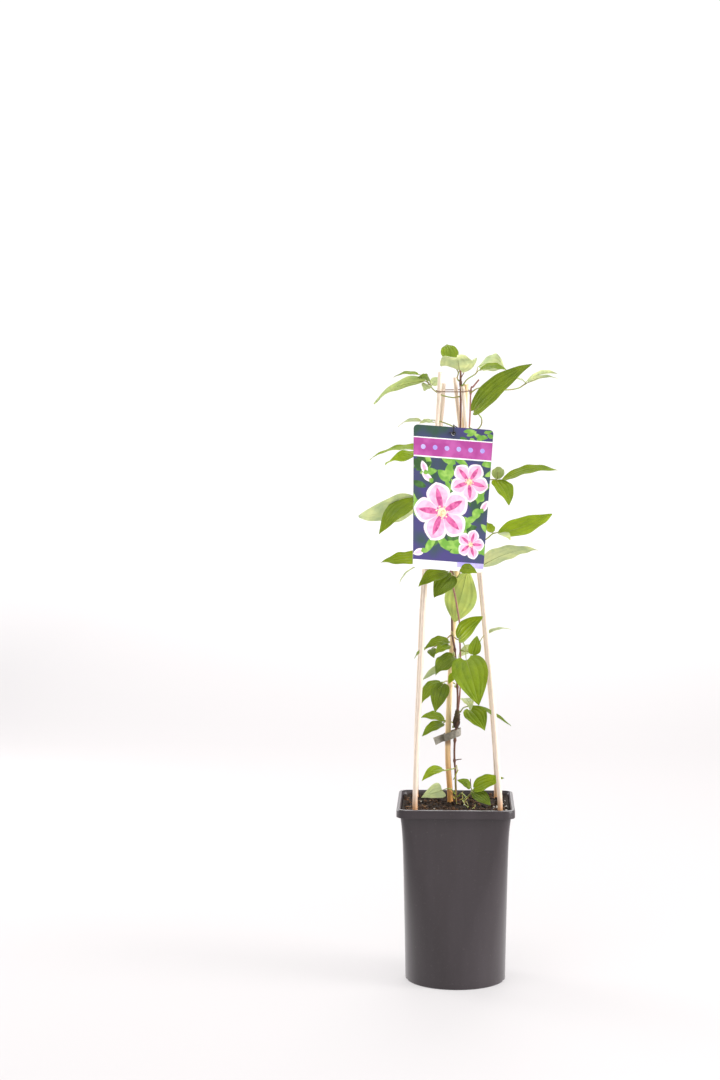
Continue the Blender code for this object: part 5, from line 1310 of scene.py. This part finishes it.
def label_point(u, v, lift=0.0):
    """A point on the label in mm: u from its left edge, v from its top, 0 to 1, lifted off its front."""
    tl, tr, bl, br = (Vector(LABEL_CORNERS[k]) for k in ("top_left", "top_right", "foot_left", "foot_right"))
    top, foot = tl.lerp(tr, u), bl.lerp(br, u)
    across, down = (tr - tl).lerp(br - bl, v), foot - top
    front = across.cross(down).normalized()
    if front.y > 0:
        front = -front
    return top.lerp(foot, v) + front * lift


LABEL_HIGH = (Vector(LABEL_CORNERS["foot_left"]) - Vector(LABEL_CORNERS["top_left"])).length


def label_width(v):
    """Width of the label in mm at a share of its height."""
    top = (Vector(LABEL_CORNERS["top_right"]) - Vector(LABEL_CORNERS["top_left"])).length
    foot = (Vector(LABEL_CORNERS["foot_right"]) - Vector(LABEL_CORNERS["foot_left"])).length
    return top + (foot - top) * v


def printed(x, y, lift):
    """A place in the print: x and y are mm on the design from its top left corner."""
    return label_point(x / DESIGN[0], y / DESIGN[1], lift)


def print_band(shell, slot, lift, edges, rows=14):
    """Prints a shape between two edges. Each edge is a function from 0 to 1 that gives x and y in mm."""
    left, right = edges
    grid = []
    for i in range(rows + 1):
        t = i / rows
        (x0, y0), (x1, y1) = left(t), right(t)
        row = []
        for k in range(PRINT_COLUMNS + 1):
            x, y = x0 + (x1 - x0) * k / PRINT_COLUMNS, y0 + (y1 - y0) * k / PRINT_COLUMNS
            row.append(shell.verts.new(printed(x, y, lift) * MM))
        grid.append(row)
    for a, b in zip(grid, grid[1:]):
        for k in range(PRINT_COLUMNS):
            shell.faces.new((a[k], a[k + 1], b[k + 1], b[k])).material_index = slot


def print_petal(shell, slot, lift, x, y, heading, length, width, blunt=0.9):
    """Prints one petal or leaf from a point, along a heading in degrees."""
    turn = math.radians(heading)
    along, aside = (math.cos(turn), math.sin(turn)), (-math.sin(turn), math.cos(turn))

    def edge(sign):
        """One edge of the petal."""
        def place(t):
            t = min(max(t, 0.0), 1.0)
            half = sign * width / 2 * (math.sin(math.pi * t ** blunt)) ** 0.8
            px = x + along[0] * length * t + aside[0] * half
            py = y + along[1] * length * t + aside[1] * half
            return min(max(px, 0.3), 92.7), min(max(py, 1.2), 156.0)
        return place

    print_band(shell, slot, lift, (edge(-1), edge(1)))


def print_disc(shell, slot, lift, x, y, radius):
    """Prints a round spot."""
    def edge(sign):
        """Its left or right edge."""
        return lambda t: (x + sign * radius * math.sin(math.pi * t), y + radius * math.cos(math.pi * t))

    print_band(shell, slot, lift, (edge(-1), edge(1)), 12)


def print_strip(shell, slot, lift, sides, levels, rows=14):
    """Prints a straight strip between two sides and two levels."""
    (left, right), (high, low) = sides, levels
    print_band(shell, slot, lift, (lambda t: (left, high + (low - high) * t),
                                   lambda t: (right, high + (low - high) * t)), rows)


# The print's inks, in the order of its materials
GREEN, DEEP_GREEN, PETAL_EDGE, PINK, STRIPE, BAND, CREAM, LILAC, WHITE = range(9)


class CLEMATIS_OT_label(bpy.types.Operator):
    """Makes the plastic label with a plain printed pattern of blossoms, and its black tie"""
    bl_idname = "clematis.make_label"
    bl_label = "Label and tie"

    def execute(self, context):
        label, ties = context.scene.clematis_label, context.scene.clematis_ties
        corner, thick = label.corner / MM, label.thickness / MM
        ends = [0.0, 0.05, 0.15, 0.3, 0.5, 0.75, 1.0]
        rows = [corner * e / LABEL_HIGH for e in ends]
        middle = [rows[-1] + (1 - 2 * rows[-1]) * k / LABEL_ROWS for k in range(1, LABEL_ROWS)]
        rows = rows + middle + [1 - r for r in reversed(rows)]
        columns = LABEL_COLUMNS
        shell = bmesh.new()
        sheets = []
        for lift in (0.5 * thick, -0.5 * thick):
            sheet = []
            for v in rows:
                edge = min(min(v, 1 - v) * LABEL_HIGH, corner)
                inset = corner - math.sqrt(max(corner ** 2 - (corner - edge) ** 2, 0.0))
                span = 1 - 2 * inset / label_width(v)
                sheet.append([shell.verts.new(label_point(0.5 + span * (k / columns - 0.5), v, lift) * MM)
                              for k in range(columns + 1)])
            sheets.append(sheet)
        front, back = sheets
        last = len(rows) - 1
        for i in range(last):
            for k in range(columns):
                corners = ((i, k), (i, k + 1), (i + 1, k + 1), (i + 1, k))
                printed_face = shell.faces.new([front[a][b] for a, b in corners])
                printed_face.material_index = 1 if rows[i] < 0.93 else 0
                shell.faces.new([back[a][b] for a, b in corners])
        rim = [(i, 0) for i in range(last)] + [(last, k) for k in range(columns)]
        rim += [(i, columns) for i in range(last, 0, -1)] + [(0, k) for k in range(columns, 0, -1)]
        for (i, j), (k, m) in zip(rim, rim[1:] + rim[:1]):
            shell.faces.new((front[i][j], front[k][m], back[k][m], back[i][j]))
        white = printed_card("polypropylene_card_white", linear("#e9e6ea"))
        ground = printed_card("ink_violet_ground", tuple(label.ground), linear("#33503f"), 34.0)
        card = add_piece("label_card_plastic", shell, [white, ground], ["label"], 40)
        hole = bmesh.new()
        sweep(hole, [label_point(*LABEL_HOLE_AT, lift) for lift in (4.0, 0.0, -4.0)], [LABEL_HOLE_R] * 3, 32)
        cut_away(card, hole)
        self.print_design(label, thick / 2)
        self.tie(ties)
        return {"FINISHED"}

    def print_design(self, label, face):
        """The print: a plain pattern of round blossoms, buds and leaves with a band across its head."""
        petal, stripe = tuple(label.petal), tuple(label.stripe)
        inks = [printed_card("ink_leaf_green", tuple(label.leaf), linear("#9cc45e"), 9.0),
                printed_card("ink_leaf_deep", linear("#33552c"), linear("#4c7a36"), 9.0),
                printed_card("ink_petal_edge", linear("#fbf0f6"), linear("#f5dbe8"), 8.0),
                printed_card("ink_petal_pink", petal, linear("#eba6c8"), 7.0),
                printed_card("ink_petal_stripe", stripe, linear("#b9407f"), 6.0),
                printed_card("ink_magenta_band", tuple(label.band), linear("#bd5aa4"), 16.0),
                printed_card("ink_cream_heart", linear("#f3e9c4"), linear("#d9b98a"), 3.0),
                printed_card("ink_lilac", tuple(label.lilac), linear("#c4b9f0"), 12.0),
                printed_card("ink_white_line", linear("#f7f5f8"))]
        shell = bmesh.new()
        rng = random.Random(5)
        for k in range(58):
            x, y = rng.uniform(3, 90), rng.uniform(42, 152)
            slot, lift = rng.choice((GREEN, GREEN, DEEP_GREEN)), face + 0.03 + 0.001 * k
            print_petal(shell, slot, lift, x, y, rng.uniform(0, 360), rng.uniform(14, 30),
                        rng.uniform(6, 12))
        for k in range(9):
            slot, lift = rng.choice((GREEN, DEEP_GREEN)), face + 0.03 + 0.001 * k
            print_petal(shell, slot, lift, 54 + 4 * k, rng.uniform(4, 12), rng.uniform(-30, 60),
                        rng.uniform(8, 15), 5)

        def blossom(x, y, reach, turn, lift):
            """A round blossom of five broad petals, each with a deeper stripe, and a ring of dots."""
            petals = 5
            for k in range(petals):
                way = turn + 360 * k / petals
                step = 0.012 * k
                print_petal(shell, PETAL_EDGE, lift + step, x, y, way, reach, reach * 0.82, 1.5)
                print_petal(shell, PINK, lift + 0.004 + step, x, y, way, reach * 0.93, reach * 0.64, 1.4)
                print_petal(shell, STRIPE, lift + 0.008 + step, x, y, way, reach * 0.82, reach * 0.2, 1.1)
            print_disc(shell, CREAM, lift + 0.1, x, y, reach * 0.15)
            dots = 14
            for k in range(dots):
                way = math.radians(turn + 360 * k / dots)
                end_x, end_y = x + reach * 0.2 * math.cos(way), y + reach * 0.2 * math.sin(way)
                print_disc(shell, STRIPE if k % 2 else CREAM, lift + 0.12, end_x, end_y, reach * 0.03)

        blossom(68.0, 63.0, 24.0, 12, face + 0.11)
        blossom(36.0, 101.0, 36.0, 40, face + 0.13)
        blossom(74.0, 136.0, 18.0, 70, face + 0.11)
        for x, y, way in ((16, 58, 250), (24, 66, 215), (84, 98, 300), (16, 146, 160)):
            print_petal(shell, PETAL_EDGE, face + 0.1, x, y, way, 17, 8, 1.0)
            print_petal(shell, PINK, face + 0.11, x, y, way, 15, 4, 1.0)
            print_petal(shell, GREEN, face + 0.12, x, y, way, 6, 6, 0.8)
        # The band across the head has a white line on each side and lilac dots along it
        print_strip(shell, WHITE, face + 0.25, (0.2, 92.8), (14.0, 37.5))
        print_strip(shell, BAND, face + 0.27, (0.2, 92.8), (15.2, 36.0))
        for k in range(6):
            print_disc(shell, LILAC, face + 0.3, 11.5 + 14.0 * k, 25.6, 2.8)
        print_strip(shell, LILAC, face + 0.2, (58.0, 92.6), (157.5, 163.5), 4)
        add_piece("label_print", shell, inks, (), 80)

    def tie(self, ties):
        """The black wire tie: through the label's hole, over its top edge and round the front right cane."""
        hole = label_point(*LABEL_HOLE_AT)
        front, back = label_point(*LABEL_HOLE_AT, 2.2), label_point(*LABEL_HOLE_AT, -3.0)
        over = label_point(LABEL_HOLE_AT[0], -0.012)
        cane = point_at_height(CANES["cane_front_right"][0], hole.z + 2)
        ring = TIED_CANE_R + TIE_PLAY + TIE_WIRE_R
        round_cane = [(-ring - 1.0, -2.5, 2), (-ring, 1.2, 2), (0, ring, 1), (ring, 0.5, 0),
                      (ring * 0.8, -ring, -1)]
        loop = [front, label_point(LABEL_HOLE_AT[0], 0.02, 2.0), over + Vector((0, 0, 0.6)),
                over + Vector((1.5, 4, -1.0)), *[cane + Vector(step) for step in round_cane],
                back + Vector((4.5, 3, 0)), back, hole]
        path = smooth_path([*loop, loop[0]], 6)[:-1]
        shell = bmesh.new()
        sweep(shell, path, [TIE_WIRE_R] * len(path), 10, closed=True)
        # The knot in front of the hole, with its cut tail
        knot = front + Vector((0.2, -0.6, 0.0))
        turns = [knot + Vector((1.7 * math.cos(a), -0.7 * math.sin(2 * a), 1.4 * math.sin(a)))
                 for a in [2 * math.pi * k / KNOT_STEPS for k in range(KNOT_STEPS)]]
        sweep(shell, turns, [0.95] * KNOT_STEPS, 10, closed=True)
        tail = smooth_path([knot, knot + Vector((-2.6, -0.6, 0.5)), knot + Vector((-5.6, -0.2, 0.9))], 6)
        sweep(shell, tail, [0.8 - 0.03 * k for k in range(len(tail))], 10)
        add_piece("label_tie_wire", shell, [dull_finish("pvc_tie_black", tuple(ties.tie), 0.4, 1.2)],
                  ["label_tie"], 60)


# Studio

class CLEMATIS_OT_studio(bpy.types.Operator):
    """Makes the pale floor with its curved backdrop, the soft lights and the camera"""
    bl_idname = "clematis.make_studio"
    bl_label = "Studio"

    def execute(self, context):
        stage = context.scene.clematis_stage
        self.backdrop(context, stage)
        self.room(context, stage)
        self.lights(context, stage)
        self.camera(context)
        return {"FINISHED"}

    def backdrop(self, context, stage):
        """A floor that curves up into a back wall."""
        # Opal acrylic with a painted glow: no lamp stands behind it, it gives off white light of its own,
        # more towards the top, so shade on it stays faint
        material, tree, place = new_material("acrylic_opal_backdrop")
        glow = remap(tree, upright(tree, place), (0.0, 0.35), (stage.glow, stage.glow * 1.8))
        finished(material, principled(tree, tuple(stage.floor), 0.8, {
            "Specular IOR Level": 0.1, "Emission Color": linear("#fffdfe"), "Emission Strength": glow}))
        shell = bmesh.new()
        profile = [(FLOOR_FRONT, 0.0), (CURVE_FROM, 0.0)]
        for k in range(1, CURVE_STEPS + 1):
            angle = math.pi / 2 * k / CURVE_STEPS
            profile.append((CURVE_FROM + CURVE_R * math.sin(angle), CURVE_R * (1 - math.cos(angle))))
        profile.append((CURVE_FROM + CURVE_R, STAGE_REACH))
        # It lies just under the foot, so that the two don't meet in one plane
        line = [[shell.verts.new((x, y, z - 0.0002)) for x in (-STAGE_REACH, STAGE_REACH)]
                for y, z in profile]
        for a, b in zip(line, line[1:]):
            shell.faces.new((a[0], a[1], b[1], b[0]))
        mesh = bpy.data.meshes.new("backdrop")
        shell.to_mesh(mesh)
        shell.free()
        mesh.shade_smooth()
        mesh.materials.append(material)
        backdrop = bpy.data.objects.new("backdrop", mesh)
        context.scene.collection.objects.link(backdrop)

    def room(self, context, stage):
        """The surround: bright behind, above and to the right, and dimmer in front, so that dark plastic
        stays dark."""
        world = bpy.data.worlds.new("white_surround")
        context.scene.world = world
        world.use_nodes = True
        room = world.node_tree
        room.nodes.clear()
        way = add_node(room, "TexCoord").outputs["Generated"]
        lean = add_node(room, "VectorMath", {0: way, 1: (0.4, 1.0, 0.5)}, operation="DOT_PRODUCT")
        skies = (stage.front_sky, stage.back_sky)
        strength = remap(room, lean.outputs["Value"], (-0.8, 0.5), skies, "SMOOTHSTEP")
        sky = add_node(room, "Background", {"Strength": strength})
        add_node(room, "OutputWorld", {"Surface": sky.outputs[0]})

    def lights(self, context, stage):
        """Four soft round lights, turned to the middle of the plant."""
        for name, at, size, power in (("top_light", (-0.3, -0.9, 2.3), 1.4, stage.key),
                                      ("right_light", (1.7, -0.5, 0.8), 1.1, 1.4 * stage.side),
                                      ("left_light", (-1.6, 1.1, 0.7), 1.1, stage.side),
                                      ("back_light", (0.2, 1.9, 1.7), 1.6, stage.side)):
            lamp = bpy.data.lights.new(name, "AREA")
            lamp.shape, lamp.size, lamp.energy = "DISK", size, power
            light = bpy.data.objects.new(name, lamp)
            light.location = at
            light.rotation_euler = (Vector(LIT_POINT) - Vector(at)).to_track_quat("-Z", "Y").to_euler()
            context.scene.collection.objects.link(light)

    def camera(self, context):
        """The camera, in front of the plant and a little above its middle."""
        camera = bpy.data.cameras.new("photo_view")
        camera.lens, camera.sensor_width, camera.sensor_fit = CAMERA_LENS, 36.0, "AUTO"
        camera.clip_start = 0.05
        view = bpy.data.objects.new("photo_view", camera)
        view.location, view.rotation_euler = CAMERA_AT, CAMERA_TURN
        context.scene.collection.objects.link(view)
        context.scene.camera = view
        context.scene.view_settings.view_transform = "Standard"


# The sidebar and the run

class CLEMATIS_PT_sidebar(bpy.types.Panel):
    """Sizes, colours and makers of the potted clematis"""
    bl_idname = "CLEMATIS_PT_sidebar"
    bl_label = "Potted clematis"
    bl_space_type = "VIEW_3D"
    bl_region_type = "UI"
    bl_category = "Clematis"

    def draw(self, context):
        for title, group, maker in PANEL_GROUPS:
            box = self.layout.box()
            box.label(text=title)
            settings = getattr(context.scene, group)
            for key in type(settings).__annotations__:
                box.prop(settings, key)
            box.operator(maker)


SETTINGS = {
    "clematis_pot": PotSettings, "clematis_soil": SoilSettings, "clematis_canes": CaneSettings,
    "clematis_stems": StemSettings, "clematis_foliage": FoliageSettings, "clematis_label": LabelSettings,
    "clematis_ties": TieSettings, "clematis_stage": StageSettings,
}
# For each box of the sidebar: its title, its settings and its maker
PANEL_GROUPS = (
    ("Pot", "clematis_pot", "clematis.make_pot"), ("Peat", "clematis_soil", "clematis.make_peat"),
    ("Canes", "clematis_canes", "clematis.make_canes"), ("Stems", "clematis_stems", "clematis.make_stems"),
    ("Leaves", "clematis_foliage", "clematis.make_leaves"),
    ("Label", "clematis_label", "clematis.make_label"),
    ("Ties", "clematis_ties", "clematis.make_tape"), ("Studio", "clematis_stage", "clematis.make_studio"),
)
OPERATORS = (CLEMATIS_OT_pot, CLEMATIS_OT_peat, CLEMATIS_OT_canes, CLEMATIS_OT_stems, CLEMATIS_OT_leaves,
             CLEMATIS_OT_tape, CLEMATIS_OT_label, CLEMATIS_OT_studio)


def register():
    for cls in (*SETTINGS.values(), *OPERATORS, CLEMATIS_PT_sidebar):
        bpy.utils.register_class(cls)
    for name, cls in SETTINGS.items():
        setattr(bpy.types.Scene, name, PointerProperty(type=cls))


def unregister():
    for name in SETTINGS:
        delattr(bpy.types.Scene, name)
    for cls in reversed((*SETTINGS.values(), *OPERATORS, CLEMATIS_PT_sidebar)):
        bpy.utils.unregister_class(cls)


def main():
    register()
    for operator in OPERATORS:
        group, name = operator.bl_idname.split(".")
        getattr(getattr(bpy.ops, group), name)()
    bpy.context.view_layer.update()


if __name__ == "__main__":
    main()
